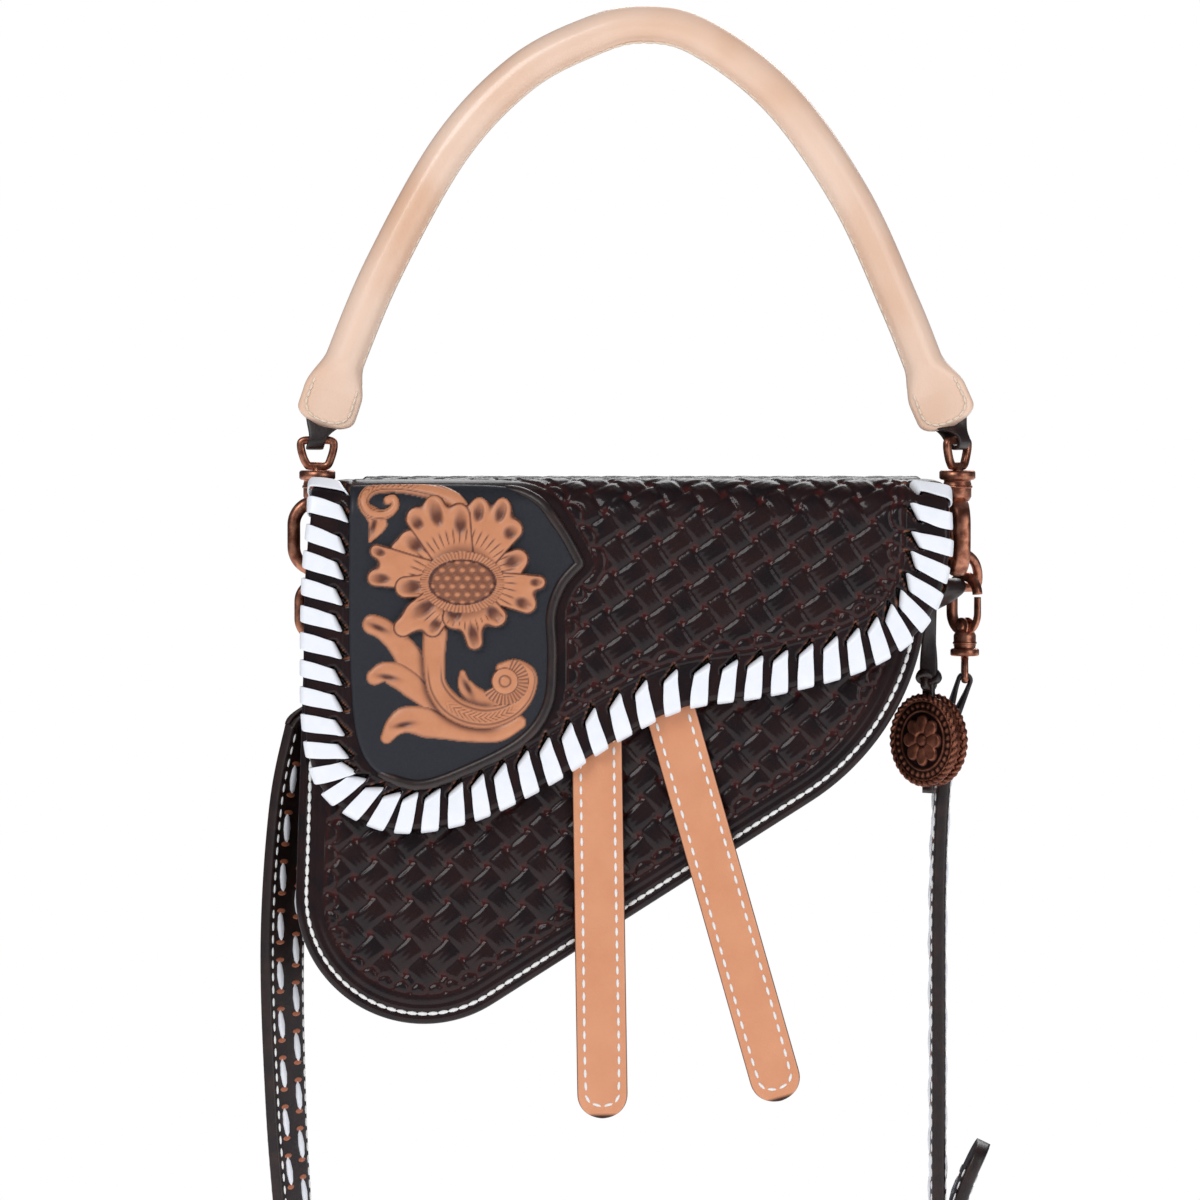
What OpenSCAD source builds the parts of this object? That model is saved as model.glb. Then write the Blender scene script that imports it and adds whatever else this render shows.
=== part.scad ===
// Small western saddle handbag that hangs by its rolled handle.
// X to the right, Y to the back, Z up. The origin is under the crown of the handle, where it hangs.

/* [Bag body] */
// Left edge of the body, measured from the hanging axis
body_left = 106.8; // [103:0.2:112]
// Right edge of the body, measured from the hanging axis
body_right = 92; // [89:0.5:95]
// Drop from the hanging point to the top edge of the body panels
body_top_drop = 141; // [138:0.5:146]
// Height of the body panels
body_h = 161.3; // [156:0.1:172]
// Depth of the body over both panels
body_depth = 44; // [42:1:50]
// How far the body sits behind the hanging axis, so that it hangs plumb
body_set_back = 2.4; // [1:0.2:5]
// Radius of the round lobe at the lower left
lobe_r = 39.5; // [36:0.5:43]
// Radius of the slow curve at the right end
seat_r = 77.5; // [74:0.5:81]
// Radius of the top corners of the panels
corner_r = 12; // [9:0.5:15]
// Thickness of a body panel
panel_t = 2.4; // [2:0.1:3]
// Thickness of the gusset leather
gusset_t = 1.6; // [1.2:0.1:2]
// Thickness of the suede lining
lining_t = 0.9; // [0.6:0.1:1.2]

/* [Flap] */
// Width of the flap over its edge
flap_w = 198; // [192:0.5:202]
// Left edge of the flap, measured from the hanging axis
flap_left = 104; // [101:0.5:106]
// Drop of the flap's front below the bend at its top
flap_drop = 95.6; // [88:0.2:104]
// Thickness of the tooled flap leather
flap_t = 2.6; // [2.2:0.1:3]
// Thickness of the leather that lines the flap
flap_lining_t = 1; // [0.8:0.1:1.2]
// Room between the front panel and the flap
flap_room = 4.8; // [4.6:0.1:6]
// Inner radius of the two bends over the top
flap_bend_r = 8.4; // [7:0.2:10]
// Half width of the flap where it passes between the hooks
flap_neck = 87; // [84:0.5:89]
// Height of the tail that is sewn to the back panel
tail_h = 32; // [24:1:40]

/* [Lacing] */
// Width of the flat lace
lace_w = 5.4; // [4:0.1:6]
// Thickness of the lace
lace_t = 0.9; // [0.7:0.05:1]
// Distance from one wrap to the next along the edge
lace_pitch = 8.3; // [7.8:0.1:11]
// Distance from the edge of the flap to the row of holes
lace_inset = 10.5; // [8:0.5:12]

/* [Carved panel] */
// Width of the carved panel
carved_w = 70.5; // [64:0.5:74]
// Height of the carved panel
carved_h = 92; // [84:0.5:94]
// Thickness of the carved panel
carved_t = 0.8; // [0.6:0.1:1.2]
// Width of the raised ridge beside it
ridge_w = 3; // [2:0.1:4]
// Number of petals in the outer row of the flower
petals = 14; // [10:1:18]
// Radius of the flower over its petals
flower_r = 25; // [20:0.5:27]

/* [Stirrup straps] */
// Width of a stirrup strap
stirrup_w = 15.5; // [13:0.5:16.5]
// Thickness of a stirrup strap
stirrup_t = 2.8; // [2:0.1:3.2]
// Length of a stirrup strap below its rivet
stirrup_len = 143; // [120:1:150]

/* [Handle] */
// Diameter of the rolled handle
handle_d = 12.4; // [10:0.2:14]
// Diameter of the rope core
core_d = 7.8; // [6:0.2:8.6]
// Height of the handle's crown over its lowest points
handle_rise = 105.1; // [100:0.1:112]
// Distance between the handle's two ends
handle_span = 180.6; // [176:0.2:184]
// Width of a flattened end of the handle
end_w = 18.6; // [16:0.2:20]
// Length of a flattened end
end_len = 17; // [14:0.5:18]

/* [Hardware] */
// Width of the ring of a swivel snap
snap_w = 18.6; // [18:0.2:20]
// Length of a swivel snap from its collar to the end of its ring
snap_len = 33.1; // [32:0.1:35]
// Thickness of the metal round the ring
snap_band = 4; // [3.6:0.1:4.2]
// Depth of a handle snap, seen from its edge
snap_depth = 5.4; // [5:0.2:6.4]
// Radius of a dee, to the middle of its wire
dee_r = 11.8; // [11.5:0.1:12.2]
// Diameter of the dee's wire
dee_wire = 3; // [2.6:0.1:3.2]

/* [Crossbody strap] */
// Width of the crossbody strap
strap_w = 19; // [17:0.5:20]
// Thickness of the crossbody strap, two layers
strap_t = 4.5; // [3.6:0.1:5]
// Drop of the loop from the dees to its lowest point
strap_drop = 474; // [440:2:520]
// Half width of the loop
strap_half = 100; // [98:0.5:102]

/* [Charm] */
// Diameter of a concho
concho_d = 29; // [24:0.5:30]
// Thickness of a concho
concho_t = 2; // [1.8:0.1:2.6]
// Length of the thong from the dee to the middle of the conchos
charm_len = 47; // [44:0.5:50]

/* [Hidden] */
$fn = 48;

// Clearances and small shared sizes
gap = 0.3;              // between pieces that move past each other
pin_gap = 0.05;         // radial, round a pin
over = 20;              // overrun of a cut
arc_steps = 10;

// Points of an arc about c
function arc(c, r, from, to, n) = [
    for (i = [0:n]) let (a = from + (to - from) * i / n) c + r * [cos(a), sin(a)]
];
function mix(a, b, k) = a + (b - a) * k;
function smooth(k) = k * k * (3 - 2 * k);
function unit(v) = v / norm(v);
function clamp(x, low, high) = min(max(x, low), high);

// One point of a Catmull-Rom curve between b and c
function curve_point(a, b, c, d, t) =
    0.5 * (2 * b + (c - a) * t + (2 * a - 5 * b + 4 * c - d) * t * t
        + (3 * b - a - 3 * c + d) * t * t * t);
// An open curve through the points p, with n steps between two of them
function curve(p, n) = let (last = len(p) - 1) [
    for (i = [0:last - 1]) for (k = [0:n - 1])
        curve_point(p[max(i - 1, 0)], p[i], p[i + 1], p[min(i + 2, last)], k / n),
    p[last]
];
// Length along a row of points, up to each of them
function lengths(p) = [
    for (i = 0, s = 0; i < len(p); s = s + (i + 1 < len(p) ? norm(p[i + 1] - p[i]) : 0), i = i + 1) s
];

// A flat piece in the XZ plane, from y to y + t
module slab(y, t) {
    translate([0, y + t, 0]) rotate([90, 0, 0]) linear_extrude(t) children();
}
// A shape in the YZ plane, from x to x + w
module bar(x, w) {
    translate([x, 0, 0]) rotate([90, 0, 90]) linear_extrude(w) children();
}
// A solid tube through rings of points, closed at both ends
module skin(rings) {
    n = len(rings[0]);
    last = len(rings) - 1;
    polyhedron(
        points = [for (r = rings) each r],
        faces = concat(
            [[for (k = [0:n - 1]) k]],
            [for (i = [0:last - 1]) for (k = [0:n - 1]) let (m = (k + 1) % n) each [
                [i * n + k, (i + 1) * n + k, i * n + m],
                [i * n + m, (i + 1) * n + k, (i + 1) * n + m]
            ]],
            [[for (k = [0:n - 1]) last * n + n - 1 - k]]
        ),
        convexity = 10
    );
}

// Body outline: four arcs joined by their common tangents, in the XZ plane
seat_over = 4.3;        // how far the body's right edge stands past the slow curve
seat_x = body_right - seat_over - seat_r;
seat_low = 104.8;       // from the top edge down to the lowest point of the slow curve's circle
seat_down = seat_low - seat_r;
left_taper = 3.8;       // how far the left edge leans in towards its top
front_y = body_set_back - body_depth / 2;
back_y = body_set_back + body_depth / 2;
top_z = -body_top_drop;
low_z = top_z - body_h;
function tangent_angle(ca, ra, cb, rb) =
    let (d = cb - ca) atan2(d[1], d[0]) - acos((ra - rb) / norm(d));
function body_outline(inset, lean) = let (
    c = [
        [lobe_r - body_left, low_z + lobe_r],
        [seat_x, top_z - seat_down],
        [body_right - corner_r - lean[1], top_z - corner_r],
        [left_taper + corner_r + lean[0] - body_left, top_z - corner_r]
    ],
    r = [lobe_r, seat_r, corner_r, corner_r],
    a = [for (i = [0:3]) tangent_angle(c[i], r[i], c[(i + 1) % 4], r[(i + 1) % 4])]
) [
    for (i = [0:3]) let (start = a[(i + 3) % 4], span = (a[i] - start + 720) % 360)
        each arc(c[i], r[i] - inset, start, start + span, arc_steps)
];

// Gusset: its wall stands in from the panels' edges, and leans in at the two ends
wall_inset = 5;
wall_lean = [9, 3];
upright = [0, 0];
gusset_drop = 33;
gusset_top = top_z - gusset_drop;
seam_inset = 0.6;
module gusset_outline(inset) { polygon(body_outline(wall_inset + inset, wall_lean)); }
module below(z) {
    intersection() {
        children();
        translate([-body_left - over, low_z - over])
            square([body_left + body_right + 2 * over, z - low_z + over]);
    }
}

module front_panel() color("#33231f") slab(front_y, panel_t) polygon(body_outline(0, upright));
module back_panel() color("#33231f")
    slab(back_y - panel_t, panel_t) below(bend_z) polygon(body_outline(0, upright));
module gusset() color("#2b1c19") difference() {
    gusset_leather();
    for (side = [0, 1]) tab_hole(side);
}
module gusset_leather() {
    inner_y = front_y + panel_t;
    inner_d = body_depth - 2 * panel_t;
    slab(inner_y, inner_d) below(gusset_top) difference() {
        gusset_outline(0);
        gusset_outline(gusset_t);
    }
    for (y = [inner_y, inner_y + inner_d - gusset_t]) slab(y, gusset_t) below(gusset_top) difference() {
        polygon(body_outline(seam_inset, upright));
        gusset_outline(gusset_t);
    }
}
module lining() color("#8a6a4e") difference() {
    lining_suede();
    for (side = [0, 1]) tab_hole(side);
}
module lining_suede() {
    inner_y = front_y + panel_t;
    inner_d = body_depth - 2 * panel_t;
    lining_top = gusset_top - lining_t;
    slab(inner_y, inner_d) below(lining_top) difference() {
        gusset_outline(gusset_t);
        gusset_outline(gusset_t + lining_t);
    }
    slab(inner_y, lining_t) below(top_z - lining_t) gusset_outline(gusset_t);
    slab(inner_y + inner_d - lining_t, lining_t) below(bend_z - lining_t) gusset_outline(gusset_t);
}

// Magnetic closure, behind the carved panel
magnet_x = -flap_left / 2;
magnet_z = top_z - flap_drop * 0.6;
magnet_d = 18;
magnet_t = 1.4;
stud_d = 7;
stud_h = 1.4;
module disc_y(d, y, t) { translate([magnet_x, y + t, magnet_z]) rotate([90, 0, 0]) cylinder(d = d, h = t); }
module magnet_socket() color("#b9bcc0") difference() {
    disc_y(magnet_d, front_y - magnet_t, magnet_t);
    disc_y(stud_d + 2 * gap, front_y - magnet_t - over, magnet_t + over - gap);
}
module magnet_stud() color("#b9bcc0") {
    disc_y(magnet_d, flap_front, magnet_t);
    disc_y(stud_d, flap_front + magnet_t, stud_h);
}

// Flap: a leather that bends over the top, described by its inner face
flap_front = front_y - flap_room;
flap_back = back_y + gap;
flap_clear = 3.2;       // from the top edge of the panels up to the flap
flap_top = top_z + flap_clear;
bend_z = flap_top - flap_bend_r;
flap_thick = flap_t + flap_lining_t;
hinge_y = flap_back + flap_thick / 2;
hinge_drop = 6;
hinge_z = bend_z - hinge_drop;
mid_h = flap_lining_t + flap_t / 2;
bend_len = (flap_bend_r + mid_h) * PI / 2;
top_len = flap_back - flap_front - 2 * flap_bend_r;
// The lower edge of the flap, as shares of its width and of its drop
flap_edge_share = [
    [0.011, 0], [0.003, 0.17], [0, 0.4], [0.002, 0.66], [0.02, 0.838], [0.066, 0.94], [0.148, 1],
    [0.26, 0.965], [0.374, 0.854], [0.491, 0.702], [0.59, 0.605], [0.72, 0.561], [0.849, 0.492],
    [0.93, 0.405], [0.978, 0.285], [1, 0.12], [1, 0]
];
edge_curve = curve([for (p = flap_edge_share) [p[0] * flap_w - flap_left, p[1] * flap_drop]], 6);
side_x = [edge_curve[0][0], edge_curve[len(edge_curve) - 1][0]];
side_steps = 8;
lace_up = bend_len * 0.6;       // how far the lacing goes on over the bend
neck_end = bend_len * 1.3;
function side_u(side, v) = mix(side_x[side], [-flap_neck, flap_neck][side],
    smooth(clamp((-v - lace_up) / (neck_end - lace_up), 0, 1)));
// The laced edge on the flat pattern: v is positive down the front, negative over the bend
laced_edge = concat([[side_x[0], -lace_up]], edge_curve, [[side_x[1], -lace_up]]);
edge_s = lengths(laced_edge);
edge_len = edge_s[len(edge_s) - 1];
u_table = [for (i = [0:len(edge_s) - 1]) [edge_s[i], laced_edge[i][0]]];
v_table = [for (i = [0:len(edge_s) - 1]) [edge_s[i], laced_edge[i][1]]];
function edge_at(s) = [lookup(s, u_table), lookup(s, v_table)];
function edge_tangent(s) = unit(edge_at(s + lace_w / 4) - edge_at(s - lace_w / 4));
function inward(t) = [t[1], -t[0]];
function bend_angle(v) = clamp(-v / bend_len, 0, 1) * 90;
// From the flat pattern to space: u across, v down the front, h out from the inner face
function place(p, h) = let (a = bend_angle(p[1]), past = max(-p[1] - bend_len, 0)) [
    p[0],
    flap_front + flap_bend_r + past - (flap_bend_r + h) * cos(a),
    bend_z - max(p[1], 0) + (flap_bend_r + h) * sin(a)
];
function down(v) = let (a = bend_angle(v)) [0, -sin(a), -cos(a)];
function outward(v) = let (a = bend_angle(v)) [0, -cos(a), sin(a)];

module flap_form(h) {
    far_z = low_z - over;
    for (y = [flap_front + flap_bend_r, flap_back - flap_bend_r])
        translate([y, bend_z]) circle(r = flap_bend_r + h);
    translate([flap_front + flap_bend_r, far_z]) square([top_len, flap_top + h - far_z]);
    translate([flap_front - h, far_z]) square([flap_back - flap_front + 2 * h, bend_z - far_z]);
}
// The flap between two heights over its inner face, down to z at the back
module flap_layer(h0, h1, z) {
    far_z = low_z - 2 * over;
    bar(-flap_left - over, flap_w + 2 * over) difference() {
        flap_form(h1);
        flap_form(h0);
        translate([body_set_back, far_z]) square([body_depth, z - far_z]);
    }
}
module flap_cut() {
    slab(flap_front - over, over + body_depth / 2) polygon([for (p = edge_curve) [p[0], bend_z - p[1]]]);
    rows = [for (i = [0:side_steps]) -neck_end * i / side_steps];
    translate([0, 0, bend_z]) linear_extrude(over) polygon(concat(
        [[side_x[0], flap_front - over]],
        [for (v = rows) [side_u(0, v), place([0, v], mid_h)[1]]],
        [[-flap_neck, flap_back + over], [flap_neck, flap_back + over]],
        [for (i = [side_steps:-1:0]) [side_u(1, rows[i]), place([0, rows[i]], mid_h)[1]]],
        [[side_x[1], flap_front - over]]
    ));
    translate([-flap_neck, body_set_back, hinge_z])
        cube([2 * flap_neck, body_depth, bend_z - hinge_z]);
}
lace_turns = floor(edge_len / lace_pitch);
turn_len = edge_len / lace_turns;
hole_share = 0.62;      // the lace is drawn narrower in its hole
hole_w = lace_w * hole_share + gap;
lace_gap = 0.22;
hole_t = lace_t + 2 * lace_gap + gap;
// A slit through the flap for each wrap of the lace
module lace_holes() {
    for (i = [1:lace_turns - 1]) {
        s = i * turn_len;
        t = edge_tangent(s);
        p = edge_at(s) + lace_inset * inward(t);
        o = place(p, mid_h);
        d = down(p[1]);
        across = [t[0], t[1] * d[1], t[1] * d[2]];
        in = [t[1], -t[0] * d[1], -t[0] * d[2]];
        out = cross(across, in);
        multmatrix([
            [across[0], in[0], out[0], o[0]],
            [across[1], in[1], out[1], o[1]],
            [across[2], in[2], out[2], o[2]]
        ]) cube([hole_w, hole_t, 3 * flap_thick], center = true);
    }
}
module flap_leather() color("#33231f") difference() {
    union() {
        intersection() {
            flap_layer(flap_lining_t, flap_thick, hinge_z);
            flap_cut();
        }
        translate([-flap_neck, hinge_y, hinge_z]) rotate([0, 90, 0])
            cylinder(d = flap_thick, h = 2 * flap_neck);
    }
    lace_holes();
}
module flap_lining() color("#5a4032") difference() {
    intersection() {
        flap_layer(0, flap_lining_t, hinge_z + flap_thick / 2);
        flap_cut();
    }
    lace_holes();
}
module flap_tail() color("#33231f") {
    tail_top = hinge_z - flap_thick / 2 - gap;
    tail_r = 10;
    slab(back_y, flap_thick) hull() {
        for (x = [tail_r - flap_neck, flap_neck - tail_r]) translate([x, tail_top - tail_h + tail_r])
            circle(r = tail_r);
        translate([-flap_neck, tail_top - tail_r]) square([2 * flap_neck, tail_r]);
    }
}
function lace_corner(s, n, h, side) =
    let (t = edge_tangent(s), p = edge_at(s) + n * inward(t) + side * t)
        place(p, h + (p[1] < lace_w / 2 && h > mid_h ? lace_gap : 0));
function lace_ring(s, row) = let (half = row[5] * lace_w / 2) [
    lace_corner(s, row[0], row[1], -half), lace_corner(s, row[0], row[1], half),
    lace_corner(s, row[2], row[3], half), lace_corner(s, row[2], row[3], -half)
];
// The lace: one flat band that winds round the edge, through a hole at each turn.
// Each row is inward place and height of its inner side, of its outer side, advance and width shares.
module flap_lacing() color("#eeeef2") {
    front = flap_thick + lace_gap;
    back = -lace_gap;
    hole = [lace_inset - lace_t / 2, lace_inset + lace_t / 2];
    near = lace_inset * 0.7;
    section = [
        [hole[0], front, hole[1], front + lace_t, 0, hole_share],
        [near, front, near, front + lace_t, -0.09, 1],
        [0, front, 0, front + lace_t, -0.3, 1],
        [-lace_gap, flap_thick, -lace_gap - lace_t, flap_thick, -0.3, 1],
        [-lace_gap, 0, -lace_gap - lace_t, 0, -0.3, 1],
        [0, back, 0, back - lace_t, -0.27, 0.9],
        [near, back, near, back - lace_t, 0.6, 0.75],
        [hole[0], back, hole[1], back - lace_t, 1, hole_share]
    ];
    skin([for (i = [1:lace_turns - 2]) for (row = section) lace_ring((i + row[4]) * turn_len, row)]);
}

// Carved panel, its ridge and its flower
carved_in = 14.3;       // from the left edge of the flap
carved_x = carved_in - flap_left;
carved_down = 1.6;      // below the top of the flap
carved_top = flap_top + flap_thick - carved_down;
carved_edge_share = [
    [0, 0], [0.34, -0.005], [0.67, 0.005], [0.82, 0.06], [0.92, 0.15], [1, 0.26],
    [0.92, 0.33], [0.875, 0.43], [0.88, 0.57], [0.86, 0.73], [0.75, 0.85], [0.52, 0.945],
    [0.3, 1], [0.12, 0.96], [0.03, 0.84], [0, 0.6], [-0.005, 0.3]
];
carved_curve = curve(
    [for (p = concat(carved_edge_share, [carved_edge_share[0]]))
        [carved_x + p[0] * carved_w, carved_top - p[1] * carved_h]], 4);
// The same loop moved out by d
function grown(p, d) = let (n = len(p) - 1) [
    for (i = [0:n - 1]) let (t = unit(p[(i + 1) % n] - p[(i + n - 1) % n])) p[i] + d * [-t[1], t[0]]
];
module carved_panel() color("#23262c") intersection() {
    flap_layer(flap_thick, flap_thick + carved_t, bend_z);
    slab(flap_front - over, over + flap_bend_r) polygon(grown(carved_curve, 0));
}
module carved_ridge() color("#3b2620") {
    ridge_h = 2 * carved_t;
    ridge_from = carved_x + carved_w * 0.66;
    intersection() {
        flap_layer(flap_thick, flap_thick + ridge_h, bend_z);
        slab(flap_front - over, over + flap_bend_r) difference() {
            polygon(grown(carved_curve, ridge_w));
            polygon(grown(carved_curve, 0));
            translate([ridge_from - carved_w, low_z]) square([carved_w, body_h + over]);
        }
    }
}
flower_x = carved_x + carved_w * 0.455;
flower_z = carved_top - carved_h * 0.31;
module petal(r) {
    w = PI * r / petals;
    polygon([
        [0, -w / 3], [r * 0.62, -w * 0.95], [r * 0.88, -w * 0.7], [r, 0],
        [r * 0.88, w * 0.7], [r * 0.62, w * 0.95], [0, w / 3]
    ]);
}
module leaf(x, z, turn, length, width) {
    translate([carved_x + x * carved_w, carved_top - z * carved_h]) rotate(turn) polygon([
        [0, -width / 4], [length * 0.3, -width / 2], [length * 0.7, -width * 0.4], [length, width * 0.2],
        [length * 0.75, width * 0.35], [length * 0.35, width / 2], [0, width / 3]
    ]);
}
// A traditional western flower with a leafy stem
module carved_flower() color("#c88c63") {
    face = flap_front - flap_thick - carved_t;
    relief = 0.7;
    heart_r = flower_r * 0.5;
    slab(face - relief, relief) {
        for (i = [0:petals - 1]) translate([flower_x, flower_z]) rotate(360 * (i + 0.5) / petals)
            petal(flower_r * (i % 2 == 0 ? 1 : 0.86));
        translate([flower_x, flower_z]) circle(r = heart_r);
        leaf(0.36, 0.5, -82, carved_h * 0.3, carved_w * 0.13);
        leaf(0.42, 0.74, 172, carved_w * 0.38, carved_h * 0.12);
        leaf(0.5, 0.84, 176, carved_w * 0.4, carved_h * 0.13);
        leaf(0.36, 0.56, 165, carved_w * 0.28, carved_h * 0.1);
        leaf(0.45, 0.82, 22, carved_w * 0.34, carved_h * 0.13);
    }
    translate([flower_x, face - relief, flower_z]) rotate([90, 0, 0]) intersection() {
        cylinder(r = heart_r * 0.8, h = relief * 2);
        dome_r = heart_r * heart_r * 0.64 / (4 * relief) + relief;
        translate([0, 0, relief * 2 - dome_r]) sphere(r = dome_r);
    }
}

// Stirrup straps hang from a rivet each, between the front panel and the flap
stirrup_x = [-14.4, 3.6];
stirrup_rivet_z = top_z - flap_drop * 0.49;
stirrup_tilt = [0.9, 15.9];
stirrup_over = 8;
rivet_d = 3;
cap_d = 7;
cap_t = 0.4;
stirrup_y = front_y - gap - stirrup_t;
module stirrup_strap(side) color("#e0a377")
    translate([stirrup_x[side], stirrup_y, stirrup_rivet_z]) rotate([0, -stirrup_tilt[side], 0]) difference() {
        half = stirrup_w / 2;
        slab(0, stirrup_t) {
            translate([-half, half - stirrup_len]) square([stirrup_w, stirrup_len + stirrup_over - stirrup_w]);
            for (z = [half - stirrup_len, stirrup_over - half]) translate([0, z]) circle(r = half);
        }
        translate([0, -over, 0]) rotate([-90, 0, 0]) cylinder(d = rivet_d + 2 * pin_gap, h = 2 * over);
    }
module rivet_y(x, z, from, to) {
    translate([x, from, z]) rotate([-90, 0, 0]) cylinder(d = rivet_d, h = to - from);
}
module stirrup_rivets() color("#8d5a45") for (x = stirrup_x) {
    rivet_y(x, stirrup_rivet_z, stirrup_y - gap / 3, front_y);
    translate([x, stirrup_y - gap / 3, stirrup_rivet_z]) rotate([90, 0, 0]) cylinder(d = cap_d, h = cap_t);
}

// Swivel snap, about its own axis: z = 0 between the eye and the collar, the ring below
collar_r = 5.6;
collar_h = 3;
neck_r = 4.35;
neck_h = 5.3;
swivel_r = 1.5;
swivel_h = 4.6;
head_r = 2.4;
head_h = 1.2;
eye_h = 10.5;
eye_wire = 2.6;
eye_top_w = 13;
eye_foot_w = 9;
eye_room = eye_foot_w - eye_wire - 3 * gap;     // for the strap through the eye
ear_r = 3.6;
boss_r = 2.6;
gate_pin_r = 0.9;
gate_share = 0.5;       // the gate's part of the hook's depth
pivot_z = -(collar_h + neck_h + boss_r + 2 * gap);
ring_top = 2 * gap - collar_h - neck_h;
mouth_z = snap_w / 2 - snap_len + gap;
module snap_eye(k) color("#96604a") scale(k) {
    foot = eye_foot_w / 2;
    top = eye_top_w / 2;
    slab(-eye_wire / 2, eye_wire) difference() {
        polygon([[-foot, 0], [foot, 0], [top, eye_h], [-top, eye_h]]);
        polygon([
            [eye_wire - foot, eye_wire], [foot - eye_wire, eye_wire],
            [top - eye_wire, eye_h - eye_wire], [eye_wire - top, eye_h - eye_wire]
        ]);
    }
    translate([0, 0, -swivel_h]) cylinder(r = swivel_r, h = swivel_h + eye_wire / 2);
    translate([0, 0, -swivel_h - head_h]) cylinder(r = head_r, h = head_h);
}
// The ring's outline, from its outer edge in by d
module ring_shape(d) {
    half = snap_w / 2;
    for (z = [ring_top - half, half - snap_len]) translate([0, z]) circle(r = half - d);
    translate([d - half, half - snap_len]) square([snap_w - 2 * d, ring_top + snap_len - snap_w]);
}
module snap_hook(k, depth) color("#96604a") scale(k) difference() {
    union() {
        translate([0, 0, -collar_h]) cylinder(r = collar_r, h = collar_h - gap / 3);
        translate([0, 0, -collar_h - neck_h]) cylinder(r = neck_r, h = neck_h);
        slab(-depth / 2, depth) {
            difference() {
                ring_shape(0);
                ring_shape(snap_band);
                translate([0, mouth_z]) square([snap_w, snap_len]);
            }
            translate([0, pivot_z]) circle(r = ear_r);
        }
    }
    translate([0, 0, -swivel_h - gap]) cylinder(r = swivel_r + pin_gap, h = over);
    translate([0, 0, -swivel_h - head_h - gap]) cylinder(r = head_r + gap, h = head_h + gap);
    slot_t = depth * gate_share + 2 * gap;
    slab(-slot_t / 2, slot_t) {
        translate([0, pivot_z]) circle(r = boss_r + gap);
        translate([0, pivot_z - ear_r - over]) square([over, over + 2 * ear_r - gap]);
    }
    translate([0, over, pivot_z]) rotate([90, 0, 0]) cylinder(r = gate_pin_r, h = 2 * over);
}
module snap_gate(k, depth) color("#a96f55") scale(k) difference() {
    slab(-depth * gate_share / 2, depth * gate_share) {
        translate([0, pivot_z]) circle(r = boss_r);
        intersection() {
            difference() {
                ring_shape(gap);
                ring_shape(snap_band - gap);
            }
            translate([0, mouth_z + gap]) square([snap_w, pivot_z - mouth_z + boss_r / 2]);
        }
    }
    translate([0, over, pivot_z]) rotate([90, 0, 0]) cylinder(r = gate_pin_r + pin_gap, h = 2 * over);
}
module gate_rivet(k, depth) color("#7c4b39") scale(k) translate([0, 0, pivot_z]) rotate([90, 0, 0]) {
    cap_h = 0.5;
    cylinder(r = gate_pin_r, h = depth, center = true);
    for (side = [0, 1]) mirror([0, 0, side]) translate([0, 0, depth / 2])
        cylinder(r = 2 * gate_pin_r, h = cap_h);
}

// Places of the handle's snaps: their axes, their turn and the height of their collars
snap_x = [-100.6, 97.7];
snap_turn = [0, 99];
throat = 8;
leg_len = end_len + throat;
end_lean = [19, 24];
bar_up = eye_h - eye_wire / 2;
collar_z = handle_d / 2 - handle_rise - leg_len * cos(end_lean[0]) - bar_up;
ring_floor = collar_z - snap_len + snap_band;
module at_snap(side, turn) { translate([snap_x[side], 0, collar_z]) rotate([0, 0, turn]) children(); }

// Dees: the left one stands in line with the bag's end, the right one is turned and leans out
dee_turn = [0, -50];
dee_lean = [0, 20];
dee_lift = [0.9, 2.1];
function dee_apex_z(side) = ring_floor + dee_lift[side] + dee_wire / 2;
function dee_out(side) = [cos(dee_turn[side]), sin(dee_turn[side])];
function dee_foot(side) = let (o = dee_r * sin(dee_lean[side])) [
    snap_x[side] - o * dee_out(side)[0], -o * dee_out(side)[1],
    dee_apex_z(side) - dee_r * cos(dee_lean[side])
];
// A point at a distance along the dee's straight side, towards the back
function dee_along(side, d) = dee_foot(side) + d * [-sin(dee_turn[side]), cos(dee_turn[side]), 0];
module at_dee(side) { translate(dee_foot(side)) rotate([0, 0, dee_turn[side]]) children(); }
module dee(side) color("#8d5a45") at_dee(side) rotate([0, dee_lean[side], 0]) rotate([90, 0, 90]) {
    rotate_extrude(angle = 180) translate([dee_r, 0]) circle(d = dee_wire);
    rotate([0, 90, 0]) cylinder(d = dee_wire, h = 2 * dee_r, center = true);
    for (x = [-dee_r, dee_r]) translate([x, 0, 0]) sphere(d = dee_wire);
}
tab_w = 8.4;
tab_t = 1.5;
tab_len = 18;
tab_gap = 0.15;
tab_cap_d = 6;
tab_cap_t = 0.8;
tab_seat_z = gusset_top - tab_len / 2;
tab_y = [0, tab_w * 0.6];
inset = 0.1;            // keeps a pulled shape inside the plates it joins
// The end wall of the gusset at height z
function wall_x(side, z) = lookup(z, [
    for (p = body_outline(wall_inset, wall_lean))
        if (side == 0 ? p[0] < lobe_r - body_left : p[0] > seat_x) [p[1], p[0]]
]);
// The frame of the end wall: out is local X, up the wall is local Z
module at_wall(side) {
    reach = tab_len / 2;
    rise = [wall_x(side, tab_seat_z + reach / 2), wall_x(side, tab_seat_z - reach)];
    translate([wall_x(side, tab_seat_z), tab_y[side], tab_seat_z])
        rotate([0, atan2(rise[0] - rise[1], 1.5 * reach), 0]) mirror([1 - side, 0, 0])
            translate([gap / 2, 0, 0]) children();
}
module tab_hole(side) {
    at_wall(side) translate([-over / 2, 0, -tab_len / 6]) rotate([0, 90, 0]) cylinder(d = rivet_d, h = over);
}
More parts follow.
